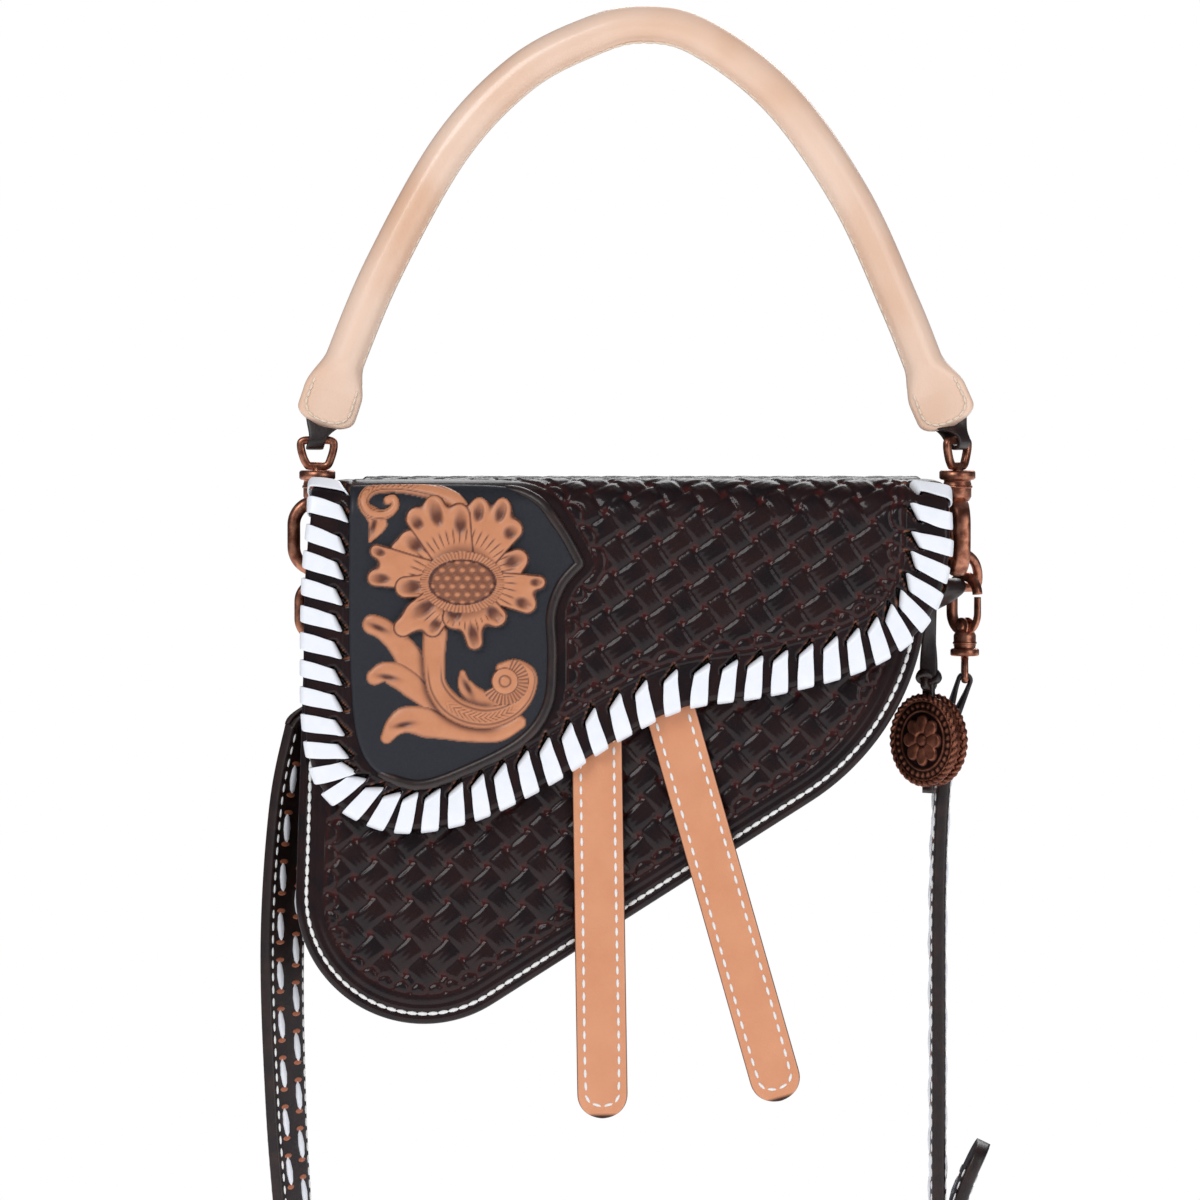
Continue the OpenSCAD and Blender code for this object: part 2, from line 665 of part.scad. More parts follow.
// A dark strap folded round the dee and riveted to the end of the gusset
module dee_tab(side) color("#2b1c19") difference() {
    loop_r = dee_wire / 2 + tab_gap + tab_t;
    union() {
        at_wall(side) translate([0, -tab_w / 2, -tab_len / 2]) cube([2 * tab_t, tab_w, tab_len * 0.75]);
        hull() {
            at_wall(side) translate([inset, inset - tab_w / 2, tab_len / 4 - tab_t])
                cube([2 * (tab_t - inset), tab_w - 2 * inset, tab_t / 2]);
            at_dee(side) translate([inset - tab_t, inset - tab_w / 2, -loop_r])
                cube([2 * (tab_t - inset), tab_w - 2 * inset, tab_t / 2]);
        }
        at_dee(side) rotate([90, 0, 0]) cylinder(r = loop_r, h = tab_w + slice / 2, center = true);
    }
    at_dee(side) rotate([90, 0, 0]) cylinder(r = dee_wire / 2 + tab_gap, h = 2 * tab_w, center = true);
    tab_hole(side);
}
module tab_rivets() color("#8d5a45") for (side = [0, 1]) at_wall(side) translate([0, 0, -tab_len / 6]) {
    depth = gusset_t + lining_t + 2 * gap;
    rotate([0, 90, 0]) translate([0, 0, -depth]) cylinder(d = rivet_d, h = depth + 2 * tab_t + tab_cap_t);
    rotate([0, 90, 0]) translate([0, 0, 2 * tab_t]) cylinder(d = tab_cap_d, h = tab_cap_t);
    rotate([0, 90, 0]) translate([0, 0, -depth - tab_cap_t]) cylinder(d = tab_cap_d, h = tab_cap_t);
}

// Handle: a leather tube rolled round a rope, along a curve in the XZ plane
bar_z = collar_z + bar_up;
function leg(side, d) = let (sign = [1, -1][side], a = end_lean[side]) [
    snap_x[side] + sign * d * sin(a), bar_z + d * cos(a)
];
handle_x0 = leg(0, leg_len)[0];
handle_x1 = leg(1, leg_len)[0];
// The handle's middle line, as shares of its span and of its rise
handle_share = [
    [0.07, 0.285], [0.184, 0.635], [0.304, 0.853], [0.424, 0.963], [0.513, 1], [0.613, 0.961],
    [0.75, 0.78], [0.87, 0.487], [0.955, 0.17]
];
handle_low = leg(0, leg_len)[1];
handle_path = curve(concat(
    [leg(0, leg_len)],
    [for (p = handle_share) [handle_x0 + p[0] * handle_span, handle_low + p[1] * handle_rise]],
    [leg(1, leg_len)]
), 4);
function path_tangent(p, i) = unit(p[min(i + 1, len(p) - 1)] - p[max(i - 1, 0)]);
function tube_ring(c, t, r, n) = [
    for (k = [0:n - 1]) let (a = 360 * k / n, side = [-t[1], t[0]])
        [c[0] + r * cos(a) * side[0], r * sin(a), c[1] + r * cos(a) * side[1]]
];
function handle_rings(r, n) = let (last = len(handle_path) - 1) [
    for (i = [0:last]) let (t = i == 0 ? [sin(end_lean[0]), cos(end_lean[0])]
        : i == last ? [sin(end_lean[1]), -cos(end_lean[1])] : path_tangent(handle_path, i))
        tube_ring(handle_path[i], t, r, n)
];
// A tube with a bore, between two lists of rings with as many points
module tube(outer, inner) {
    n = len(outer[0]);
    last = len(outer) - 1;
    rows = last + 1;
    polyhedron(
        points = concat([for (r = outer) each r], [for (r = inner) each r]),
        faces = concat(
            [for (i = [0:last - 1]) for (k = [0:n - 1]) let (m = (k + 1) % n) each [
                [i * n + k, (i + 1) * n + k, i * n + m],
                [i * n + m, (i + 1) * n + k, (i + 1) * n + m]
            ]],
            [for (i = [0:last - 1]) for (k = [0:n - 1]) let (m = (k + 1) % n) each [
                [(rows + i) * n + k, (rows + i) * n + m, (rows + i + 1) * n + k],
                [(rows + i) * n + m, (rows + i + 1) * n + m, (rows + i + 1) * n + k]
            ]],
            [for (k = [0:n - 1]) let (m = (k + 1) % n) each [
                [k, m, rows * n + k], [m, rows * n + m, rows * n + k],
                [last * n + k, (rows + last) * n + k, last * n + m],
                [last * n + m, (rows + last) * n + k, (rows + last) * n + m]
            ]]
        ),
        convexity = 10
    );
}
module handle_roll() color("#eec9ac") {
    sides = 14;
    tube(handle_rings(handle_d / 2, sides), handle_rings(core_d / 2 + gap / 2, sides));
}
module handle_core() color("#d8cfc0") skin(handle_rings(core_d / 2, 14));
slice = 0.8;
chape_t = 1.6;
leaf_t = 2;
end_reach = 4.6;        // from the snap's bar up to the lower edge of the handle's end
module at_leg(side) {
    translate([snap_x[side], 0, bar_z]) rotate([0, [1, -1][side] * end_lean[side], 0]) children();
}
module handle_end(side) color("#eec9ac") at_leg(side) {
    corner = end_w / 6;
    deep = 2 * (chape_t + leaf_t);
    hull() {
        translate([0, 0, leg_len - slice]) cylinder(d = handle_d, h = slice, $fn = 24);
        translate([-end_w / 2, -deep / 2, end_len]) cube([end_w, deep, slice]);
    }
    for (y = [-chape_t - leaf_t, chape_t]) slab(y, leaf_t) {
        translate([-end_w / 2, end_reach + corner]) square([end_w, end_len - end_reach - corner]);
        for (x = [corner - end_w / 2, end_w / 2 - corner]) translate([x, end_reach + corner]) circle(r = corner);
        translate([corner - end_w / 2, end_reach]) square([end_w - 2 * corner, corner]);
    }
}
// A dark strap folded round the bar of the snap's eye, and sewn between the two leaves above
module chape(side) color("#2b1c19") difference() {
    loop_w = eye_room;
    wide = end_w * 0.7;
    union() {
        at_leg(side) slab(-chape_t, 2 * chape_t)
            translate([-wide / 2, end_reach + slice]) square([wide, end_len - end_reach - slice]);
        hull() {
            at_leg(side) translate([inset - wide / 2, inset - chape_t, end_reach + slice / 2])
                cube([wide - 2 * inset, 2 * (chape_t - inset), slice]);
            translate([snap_x[side], 0, bar_z]) rotate([0, 0, eye_turn[side]])
                translate([inset - loop_w / 2, inset - chape_t, eye_wire - slice])
                    cube([loop_w - 2 * inset, 2 * (chape_t - inset), slice]);
        }
        translate([snap_x[side], 0, bar_z]) rotate([0, 0, eye_turn[side]]) rotate([0, 90, 0])
            cylinder(r = fold_r(eye_wire) + chape_t, h = loop_w, center = true);
    }
    translate([snap_x[side], 0, bar_z]) rotate([0, 0, eye_turn[side]]) rotate([0, 90, 0])
        cylinder(r = fold_r(eye_wire), h = end_w, center = true);
    at_leg(side) for (y = [-chape_t - over, chape_t])
        slab(y, over) translate([-over, end_reach - gap]) square(2 * over);
}
// Inner radius of a strap folded round a square bar
function fold_r(wire) = wire * 0.75;
eye_turn = [0, 50];

// Crossbody strap: its snaps hang from the dees, behind the tabs
strap_snap = 0.8;
strap_snap_depth = 4;
strap_along = [7.3, 6.9];
strap_snap_turn = dee_turn;
strap_eye_turn = [-53, 90];
function strap_hang(side) = dee_along(side, strap_along[side])
    + [0, 0, dee_wire / 2 + gap - strap_snap * (snap_len - snap_band)];
strap_drop_to_bar = strap_snap * (eye_h - eye_wire / 2);
module at_strap_snap(side, turn) {
    translate(strap_hang(side)) rotate([0, 0, turn]) rotate([180, 0, 0]) children();
}
strap_back = 3.2;       // the strap runs behind the left dee's snap
strap_y = strap_hang(0)[1] + strap_back;
// The long strap's middle line, as shares of the loop's half width and of its drop
long_share = [
    [-1.04, 0.088], [-1.09, 0.14], [-1.12, 0.23], [-1.11, 0.335], [-1.085, 0.42], [-1.04, 0.57],
    [-0.96, 0.72], [-0.8, 0.86], [-0.52, 0.955], [-0.12, 1], [0.28, 0.975], [0.58, 0.885],
    [0.76, 0.76], [0.85, 0.64], [0.885, 0.56]
];
strap_top_z = dee_foot(0)[2];
buckle_x = strap_half * 0.923;
buckle_z = strap_top_z - strap_drop * 0.475;
buckle_wire = 3.4;
buckle_in_w = strap_w + 4 * gap;
buckle_h = 20;
fold_out = fold_r(buckle_wire) + strap_t / 2;
under_x = buckle_x - buckle_wire / 2 - strap_t / 2 - 3.5 * gap;
over_x = buckle_x + fold_out + strap_t / 2 + gap;
rest_x = buckle_x + strap_t + 3 * gap;
billet_share = [[0, 0.95], [0, 1.5], [0.035, 2.1], [0.09, 2.7]];
long_path = curve(concat(
    [for (p = long_share) [p[0] * strap_half, strap_top_z - p[1] * strap_drop]],
    [[under_x, buckle_z - buckle_h - strap_t], [under_x, buckle_z - buckle_h + buckle_wire / 2]],
    [[mix(under_x, over_x, 0.45), buckle_z - buckle_h * 0.56]],
    [[mix(under_x, over_x, 0.88), buckle_z - buckle_h * 0.22], [over_x, buckle_z]],
    [for (p = billet_share) [rest_x + p[0] * strap_half, buckle_z + p[1] * buckle_h]]
), 3);
// The short strap's middle line, from the right snap to the buckle
short_top = strap_hang(1) - [0, 0, strap_drop_to_bar];
short_share = [[0.96, 0.084], [0.935, 0.13], [0.923, 0.2], [0.923, 0.3], [0.923, 0.4]];
short_path = curve(concat(
    [for (p = short_share) [p[0] * strap_half, strap_top_z - p[1] * strap_drop]],
    [[buckle_x, buckle_z + 2 * fold_out], [buckle_x, buckle_z]]
), 3);
// A flat strap: a rectangle carried along a curve, turned about it by an angle
function band_ring(path, i, w, t, a) = let (
    d = path_tangent(path, i),
    side = [-d[1], d[0]],
    wide = [side[0] * sin(a), -cos(a), side[1] * sin(a)] * w / 2,
    thick = [side[0] * cos(a), sin(a), side[1] * cos(a)] * t / 2,
    c = [path[i][0], strap_y, path[i][1]]
) [c + wide + thick, c - wide + thick, c - wide - thick, c + wide - thick];
function long_turn(i) = -strap_left_turn * (1 - smooth(clamp(i / (len(long_path) * 0.45), 0, 1)));
strap_left_turn = 37;
module long_strap() color("#2b1c19") difference() {
    skin([for (i = [0:len(long_path) - 1]) band_ring(long_path, i, strap_w, strap_t, long_turn(i))]);
    translate([buckle_x, strap_y - prong_w / 2 - gap, buckle_z - buckle_h])
        cube([strap_t + 2 * buckle_wire, prong_w + 2 * gap, buckle_h]);
}
prong_w = 2.6;
// The folded end of a strap round the bar of its snap's eye
module strap_end(side) color("#2b1c19") difference() {
    path = side == 0 ? long_path : short_path;
    bar_at = strap_hang(side) - [0, 0, strap_drop_to_bar];
    loop_w = strap_snap * eye_room;
    loop_t = 1.4;
    hole_r = strap_snap * fold_r(eye_wire);
    ring = band_ring(path, 0, strap_w, strap_t, side == 0 ? long_turn(0) : 0);
    union() {
        translate(bar_at) rotate([0, 0, strap_eye_turn[side]]) rotate([0, 90, 0])
            cylinder(r = hole_r + loop_t, h = loop_w, center = true);
        hull() {
            translate(bar_at) rotate([0, 0, strap_eye_turn[side]])
                translate([-loop_w / 2, -loop_t, -hole_r - loop_t]) cube([loop_w, 2 * loop_t, slice]);
            polyhedron(
                concat(ring, [for (p = ring) p + [0, 0, slice]]),
                [[0, 1, 2, 3], [7, 6, 5, 4], [0, 4, 5, 1], [1, 5, 6, 2], [2, 6, 7, 3], [3, 7, 4, 0]]
            );
        }
    }
    translate(bar_at) rotate([0, 0, strap_eye_turn[side]]) rotate([0, 90, 0])
        cylinder(r = hole_r, h = end_w, center = true);
}
// A strap seen from its edge: a path grown by half its thickness to both sides
function band_side(path, t) = let (last = len(path) - 1) concat(
    [for (i = [0:last]) let (d = path_tangent(path, i)) path[i] + [-d[1], d[0]] * t / 2],
    [for (i = [last:-1:0]) let (d = path_tangent(path, i)) path[i] - [-d[1], d[0]] * t / 2]
);
module buckle_strap() color("#2b1c19") difference() {
    slab(strap_y - strap_w / 2, strap_w) difference() {
        union() {
            polygon(band_side(short_path, strap_t));
            translate([buckle_x, buckle_z]) circle(r = fold_out);
        }
        translate([buckle_x, buckle_z]) circle(r = fold_r(buckle_wire));
    }
    translate([buckle_x - over, strap_y - prong_w / 2 - gap, buckle_z - over])
        cube([2 * over, prong_w + 2 * gap, over + fold_out]);
}
module buckle_frame() color("#8d5a45") bar(buckle_x - buckle_wire / 2, buckle_wire) {
    z = buckle_z - buckle_h;
    difference() {
        translate([strap_y - buckle_in_w / 2 - buckle_wire, z - buckle_wire / 2])
            square([buckle_in_w + 2 * buckle_wire, buckle_h + buckle_wire]);
        translate([strap_y - buckle_in_w / 2, z + buckle_wire / 2])
            square([buckle_in_w, buckle_h - buckle_wire]);
    }
}
module buckle_prong() color("#8d5a45") translate([buckle_x, strap_y, buckle_z]) rotate([90, 0, 0]) {
    ring_t = 1.3;
    bore_r = fold_r(buckle_wire);
    linear_extrude(prong_w - 2 * inset, center = true) difference() {
        circle(r = bore_r + ring_t);
        circle(r = bore_r);
    }
    linear_extrude(prong_w, center = true) polygon([
        [bore_r + ring_t * 0.7, 0],
        [bore_r + ring_t * 0.3, 0],
        [buckle_wire / 2 + gap, -buckle_h - buckle_wire / 2],
        [buckle_wire / 2 + gap + prong_w, -buckle_h - buckle_wire / 2]
    ]);
}
module strap_keeper() color("#2b1c19") {
    keeper_t = 1.5;
    keeper_h = 8;
    half = strap_w / 2 + gap;
    inner = [buckle_x - strap_t / 2 - gap, rest_x + strap_t / 2 + gap];
    translate([0, strap_y, buckle_z + buckle_h * 1.1]) linear_extrude(keeper_h) difference() {
        translate([inner[0] - keeper_t, -half - keeper_t])
            square([inner[1] - inner[0] + 2 * keeper_t, 2 * (half + keeper_t)]);
        translate([inner[0], -half]) square([inner[1] - inner[0], 2 * half]);
    }
}

// Charm: two conchos back to back on a knotted thong, which hangs from the right dee
charm_along = -8.2;
charm_turn = -47;
thong_w = 2.6;
thong_t = 1;
knot_r = 4;
concho_gap = 2 * thong_t + gap / 2;
module at_charm() { translate(dee_along(1, charm_along)) rotate([0, 0, charm_turn]) children(); }
module charm_thong() color("#2b1c19") {
    loop_r = dee_wire / 2 + gap;
    stub = charm_len + concho_d / 2 + knot_r / 2;
    translate(dee_along(1, charm_along)) rotate([0, 0, dee_turn[1]]) rotate([90, 0, 0]) difference() {
        cylinder(r = loop_r + thong_t, h = thong_w, center = true);
        cylinder(r = loop_r, h = 2 * thong_w, center = true);
    }
    at_charm() translate([0, 0, -stub]) thong_strip(stub - loop_r - thong_t / 2);
}
module thong_strip(length) { translate([-thong_w / 2, -thong_t, 0]) cube([thong_w, 2 * thong_t, length]); }
function knot_z() = concho_d / 2 + knot_r + gap - charm_len;
module charm_knot() color("#2b1c19") at_charm() translate([0, 0, knot_z()]) difference() {
    sphere(r = knot_r);
    translate([0, 0, -over]) thong_strip(2 * over);
}
module concho(side) color("#82503d") {
    r = concho_d / 2;
    at_charm() translate([0, 0, -charm_len]) mirror([0, side, 0]) translate([0, -concho_gap / 2, 0])
        rotate([90, 0, 0]) rotate_extrude() polygon([
            [0, 0], [r, 0], [r, concho_t * 0.5], [r * 0.92, concho_t * 0.75], [r * 0.84, concho_t * 0.5],
            [r * 0.78, concho_t * 0.5], [r * 0.6, concho_t * 0.85], [r * 0.25, concho_t], [0, concho_t]
        ]);
}

front_panel();
back_panel();
gusset();
lining();
magnet_socket();
magnet_stud();
dee_tab(0);  // dee_tab_left
dee_tab(1);  // dee_tab_right
dee(0);  // dee_left
dee(1);  // dee_right
tab_rivets();
stirrup_rivets();
flap_leather();
flap_lining();
flap_tail();
flap_lacing();
carved_panel();
carved_ridge();
carved_flower();
stirrup_strap(0);  // stirrup_strap_left
stirrup_strap(1);  // stirrup_strap_right
handle_roll();
handle_core();
handle_end(0);  // handle_end_left
handle_end(1);  // handle_end_right
chape(0);  // chape_left
chape(1);  // chape_right
at_snap(0, eye_turn[0]) snap_eye(1);  // snap_eye_left
at_snap(1, eye_turn[1]) snap_eye(1);  // snap_eye_right
at_snap(0, snap_turn[0]) snap_hook(1, snap_depth);  // snap_hook_left
at_snap(1, snap_turn[1]) snap_hook(1, snap_depth);  // snap_hook_right
at_snap(0, snap_turn[0]) snap_gate(1, snap_depth);  // snap_gate_left
at_snap(1, snap_turn[1]) snap_gate(1, snap_depth);  // snap_gate_right
at_snap(0, snap_turn[0]) gate_rivet(1, snap_depth);  // gate_rivet_left
at_snap(1, snap_turn[1]) gate_rivet(1, snap_depth);  // gate_rivet_right
at_strap_snap(0, strap_eye_turn[0]) snap_eye(strap_snap);  // strap_eye_left
at_strap_snap(1, strap_eye_turn[1]) snap_eye(strap_snap);  // strap_eye_right
at_strap_snap(0, strap_snap_turn[0]) snap_hook(strap_snap, strap_snap_depth);  // strap_hook_left
at_strap_snap(1, strap_snap_turn[1]) snap_hook(strap_snap, strap_snap_depth);  // strap_hook_right
at_strap_snap(0, strap_snap_turn[0]) snap_gate(strap_snap, strap_snap_depth);  // strap_gate_left
at_strap_snap(1, strap_snap_turn[1]) snap_gate(strap_snap, strap_snap_depth);  // strap_gate_right
at_strap_snap(0, strap_snap_turn[0]) gate_rivet(strap_snap, strap_snap_depth);  // strap_rivet_left
at_strap_snap(1, strap_snap_turn[1]) gate_rivet(strap_snap, strap_snap_depth);  // strap_rivet_right
strap_end(0);  // strap_end_left
strap_end(1);  // strap_end_right
long_strap();
buckle_strap();
buckle_frame();
buckle_prong();
strap_keeper();
charm_thong();
charm_knot();
concho(0);  // concho_front
concho(1);  // concho_back
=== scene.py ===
import math

import bmesh
import bpy
import numpy as np
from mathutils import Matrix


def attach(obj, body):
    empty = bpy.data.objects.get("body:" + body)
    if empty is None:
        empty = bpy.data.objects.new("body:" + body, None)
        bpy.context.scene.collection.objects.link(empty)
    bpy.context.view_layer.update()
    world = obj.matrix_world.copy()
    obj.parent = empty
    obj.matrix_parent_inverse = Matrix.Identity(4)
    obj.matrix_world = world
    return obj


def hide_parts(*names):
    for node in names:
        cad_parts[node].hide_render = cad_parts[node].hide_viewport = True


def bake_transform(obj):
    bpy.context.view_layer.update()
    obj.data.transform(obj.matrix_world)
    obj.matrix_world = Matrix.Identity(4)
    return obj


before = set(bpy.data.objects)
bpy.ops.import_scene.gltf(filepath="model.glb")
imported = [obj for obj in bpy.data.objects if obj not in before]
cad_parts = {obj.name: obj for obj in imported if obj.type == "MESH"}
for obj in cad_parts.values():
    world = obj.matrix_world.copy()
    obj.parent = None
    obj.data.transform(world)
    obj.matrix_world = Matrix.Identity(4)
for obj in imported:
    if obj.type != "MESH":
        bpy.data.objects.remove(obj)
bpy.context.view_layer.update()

# The view
# The bag hangs free in front of a white wall. The camera stands far off and almost level with it, so that one
# millimetre at the handle's plane takes the same room all over the picture.
MM = 0.001
PHOTO_SIZE = 1200
MM_PER_PIXEL = 0.31
HANG_PIXEL = (642, 45)
CAMERA_FAR = 2600
CAMERA_TILT = math.radians(2)
FLOOR_Z = -665

view_width = PHOTO_SIZE * MM_PER_PIXEL
view_x = (PHOTO_SIZE / 2 - HANG_PIXEL[0]) * MM_PER_PIXEL
view_z = (HANG_PIXEL[1] - PHOTO_SIZE / 2) * MM_PER_PIXEL
camera_data = bpy.data.cameras.new("camera")
camera_data.sensor_width = 36
camera_data.lens = camera_data.sensor_width * CAMERA_FAR / view_width
camera_data.clip_end = 20
camera = bpy.data.objects.new("camera", camera_data)
camera.location = (
    view_x * MM, -CAMERA_FAR * math.cos(CAMERA_TILT) * MM, (view_z + CAMERA_FAR * math.sin(CAMERA_TILT)) * MM)
camera.rotation_euler = (math.radians(90) - CAMERA_TILT, 0, 0)
bpy.context.collection.objects.link(camera)
scene = bpy.context.scene
scene.camera = camera
scene.view_settings.view_transform = "Standard"


def lamp(name, place, size, power):
    """A square soft lamp at a place in metres, turned towards the bag."""
    light = bpy.data.lights.new(name, "AREA")
    light.size = size
    light.energy = power
    thing = bpy.data.objects.new(name, light)
    thing.location = place
    aim = np.array([view_x, 0, view_z]) * MM - np.array(place)
    thing.rotation_euler = (math.acos(-aim[2] / np.linalg.norm(aim)), 0, math.atan2(-aim[0], aim[1]))
    bpy.context.collection.objects.link(thing)


lamp("key lamp", (-0.9, -1.5, 0.9), 0.9, 15)
lamp("fill lamp", (1.3, -1.3, 0.1), 1.1, 7)
lamp("back lamp", (0.3, 1.3, 0.8), 1.0, 11)

world = bpy.data.worlds.new("white room")
scene.world = world
world.use_nodes = True
room = world.node_tree
room.nodes.remove(room.nodes["Background"])
rays = room.nodes.new("ShaderNodeLightPath")


def backdrop(tint, strength):
    """One even light from all around."""
    made = room.nodes.new("ShaderNodeBackground")
    made.inputs["Color"].default_value = (*tint, 1)
    made.inputs["Strength"].default_value = strength
    return made.outputs[0]


def seen_by(ray, special, usual):
    """The special backdrop for one kind of ray, and the usual one for all others."""
    made = room.nodes.new("ShaderNodeMixShader")
    for number, socket in enumerate((rays.outputs[ray], usual, special)):
        room.links.new(socket, made.inputs[number])
    return made.outputs[0]


soft_light = backdrop((0.9, 0.93, 1), 0.5)
reflected = seen_by("Is Glossy Ray", backdrop((0.75, 0.82, 1), 0.12), soft_light)
room.links.new(
    seen_by("Is Camera Ray", backdrop((1, 1, 1), 1), reflected), room.nodes["World Output"].inputs[0])

FLOOR_HALF = 2.3
floor_mesh = bpy.data.meshes.new("floor")
floor_mesh.from_pydata(
    [(x * FLOOR_HALF, y * FLOOR_HALF, FLOOR_Z * MM) for x, y in ((-1, -1), (1, -1), (1, 1), (-1, 1))], [],
    [(0, 1, 2, 3)])
floor = bpy.data.objects.new("floor", floor_mesh)
floor_paint = bpy.data.materials.new("pale floor")
floor_paint.use_nodes = True
floor_shader = floor_paint.node_tree.nodes["Principled BSDF"]
floor_shader.inputs["Base Color"].default_value = (0.9, 0.9, 0.9, 1)
floor_shader.inputs["Emission Color"].default_value = (1, 1, 1, 1)
floor_shader.inputs["Emission Strength"].default_value = 0.35
floor_mesh.materials.append(floor_paint)
bpy.context.collection.objects.link(floor)


# Rolled handle
# A strip of thick natural leather rolled round a rope and sewn along its underside, with a flat tab at each
# end. The tabs are the same leather opened out in two leaves, sewn round a dark strap.
class Value:
    """One shader socket; sums, differences and products of it add Math nodes."""

    def __init__(self, finish, socket):
        self.finish = finish
        self.socket = socket

    def math(self, kind, *pair):
        """One Math node for a pair of values."""
        return self.finish.node("ShaderNodeMath", {"operation": kind}, *pair)

    def __add__(self, other):
        return self.math("ADD", self, other)

    def __mul__(self, other):
        return self.math("MULTIPLY", self, other)

    def __rsub__(self, other):
        return self.math("SUBTRACT", other, self)

    __radd__ = __add__
    __rmul__ = __mul__


class Finish:
    """A material of one of the record's slots."""

    def __init__(self, name, slot, roughness=0.5, **fixed):
        self.slot = slot
        self.material = bpy.data.materials.new(name)
        self.material.use_nodes = True
        self.tree = self.material.node_tree
        self.shader = self.tree.nodes["Principled BSDF"]
        self.set("Roughness", roughness)
        for socket, value in fixed.items():
            self.set(socket.replace("_", " "), value)

    def feed(self, socket, value):
        """Links a value to a socket, or sets the socket to a plain one."""
        if isinstance(value, Value):
            self.tree.links.new(value.socket, socket)
        else:
            socket.default_value = value

    def set(self, name, value):
        """Gives the finish's own shader a value by the socket's name."""
        self.feed(self.shader.inputs[name], value)

    def node(self, kind, settings, *values, out=0, **named):
        """One node: its settings first, then the values of its sockets in order or by name."""
        made = self.tree.nodes.new(kind)
        for key, value in settings.items():
            setattr(made, key, value)
        for socket, value in zip(made.inputs, values):
            self.feed(socket, value)
        for key, value in named.items():
            self.feed(made.inputs[key], value)
        return Value(self, made.outputs[out])

    def mix(self, share, a, b):
        """Colour a, and colour b where the share is 1."""
        made = self.tree.nodes.new("ShaderNodeMix")
        made.data_type = "RGBA"
        for number, value in ((0, share), (6, a), (7, b)):
            self.feed(made.inputs[number], value)
        return Value(self, made.outputs[2])

    def noise(self, size, detail=3.0):
        """Noise from 0 to 1 with lumps of a size in millimetres."""
        place = self.node("ShaderNodeTexCoord", {}, out=3)
        return self.node("ShaderNodeTexNoise", {}, Vector=place, Scale=1 / (size * MM), Detail=detail)

    def step(self, value, low, high):
        """0 below low, 1 above high, and an S between them."""
        return self.node(
            "ShaderNodeMapRange", {"interpolation_type": "SMOOTHSTEP"}, value, low, high, 0.0, 1.0)

    def tints(self, lumps, steps, first, second):
        """Two colours in lumps of noise (size, detail), one below and the other above two steps."""
        return self.mix(self.step(self.noise(*lumps), *steps), colour(*first), colour(*second))

    def rough(self, least, more, size, detail):
        """Roughness that varies in lumps of a size."""
        self.set("Roughness", least + more * self.noise(size, detail))

    def mark(self, name):
        """A value laid down on the points of the piece."""
        return self.node("ShaderNodeAttribute", {"attribute_name": name}, out=2)

    def bump(self, height, distance):
        """Fine relief, a distance in millimetres deep."""
        self.set("Normal", self.node(
            "ShaderNodeBump", {}, Height=height, Distance=distance * MM, Strength=1.0))


def colour(r, g, b):
    """A colour as it looks on the screen, from 0 to 255, in the shader's own scale."""
    return tuple((c / 255) ** 2.2 for c in (r, g, b)) + (1,)


def curve(points, steps):
    """A Catmull-Rom curve through points, with that many steps between two of them."""
    p = np.asarray(points, float)
    ends = np.vstack([p[:1], p, p[-1:]])
    a, b, c, d = (ends[i:len(p) - 1 + i, None] for i in range(4))
    t = (np.arange(steps) / steps)[None, :, None]
    line = 0.5 * (
        2 * b + (c - a) * t + (2 * a - 5 * b + 4 * c - d) * t ** 2 + (3 * b - a - 3 * c + d) * t ** 3)
    return np.vstack([line.reshape(-1, p.shape[1]), p[-1:]])


def coords(*parts):
    """Coordinates side by side, as the last axis of one array."""
    return np.stack(np.broadcast_arrays(*parts), -1)


def unit(v):
    """Each vector divided by its length."""
    return v / np.linalg.norm(v, axis=-1, keepdims=True)


def run(path):
    """The length along a path, up to each of its points."""
    return np.concatenate([[0], np.cumsum(np.linalg.norm(np.diff(path, axis=0), axis=1))])


def read_at(values, s, at):
    """The columns of values known at lengths s, read at other lengths."""
    return np.stack([np.interp(at, s, column) for column in values.T], -1)


def evenly(path, count):
    """The same path with that many evenly spaced points."""
    s = run(path)
    return read_at(path, s, np.linspace(0, s[-1], count))


def smooth(k):
    """0 up to 0, 1 from 1, and an S between them."""
    k = np.clip(k, 0, 1)
    return k * k * (3 - 2 * k)


def bell(x, width, middle=0.0):
    """exp(-((x - middle) / width)^2)"""
    return np.exp(-((x - middle) / width) ** 2)


def oval(count, power=2.0):
    """A superellipse of half axes 1: (sign(cos a) |cos a|^(2/power), the same of sin a)."""
    a = np.arange(count) * 2 * np.pi / count
    c, s = np.cos(a), np.sin(a)
    return coords(np.sign(c) * np.abs(c) ** (2 / power), np.sign(s) * np.abs(s) ** (2 / power))


def tube(rings, closed=False):
    """Points and faces of a tube through rings of points, with both ends capped unless it is closed."""
    rows, n = rings.shape[:2]
    k = np.arange(rows * n).reshape(rows, n)
    start, end = (k, np.roll(k, -1, axis=0)) if closed else (k[:-1], k[1:])
    quads = coords(start, np.roll(start, -1, 1), np.roll(end, -1, 1), end).reshape(-1, 4).tolist()
    caps = [] if closed else [k[0][::-1].tolist(), k[-1].tolist()]
    return rings.reshape(-1, 3), quads + caps


def carry(centre, wide, thick, profile):
    """A profile (a, b) carried along a path: centre + a wide + b thick."""
    return centre[:, None] + profile[..., :1] * wide[:, None] + profile[..., 1:] * thick[:, None]


def together(shapes):
    """Several shapes as one list of points and one of faces."""
    points, faces, first = [], [], 0
    for p, f in shapes:
        points.append(p)
        faces += [[first + k for k in face] for face in f]
        first += len(p)
    return np.vstack(points), faces


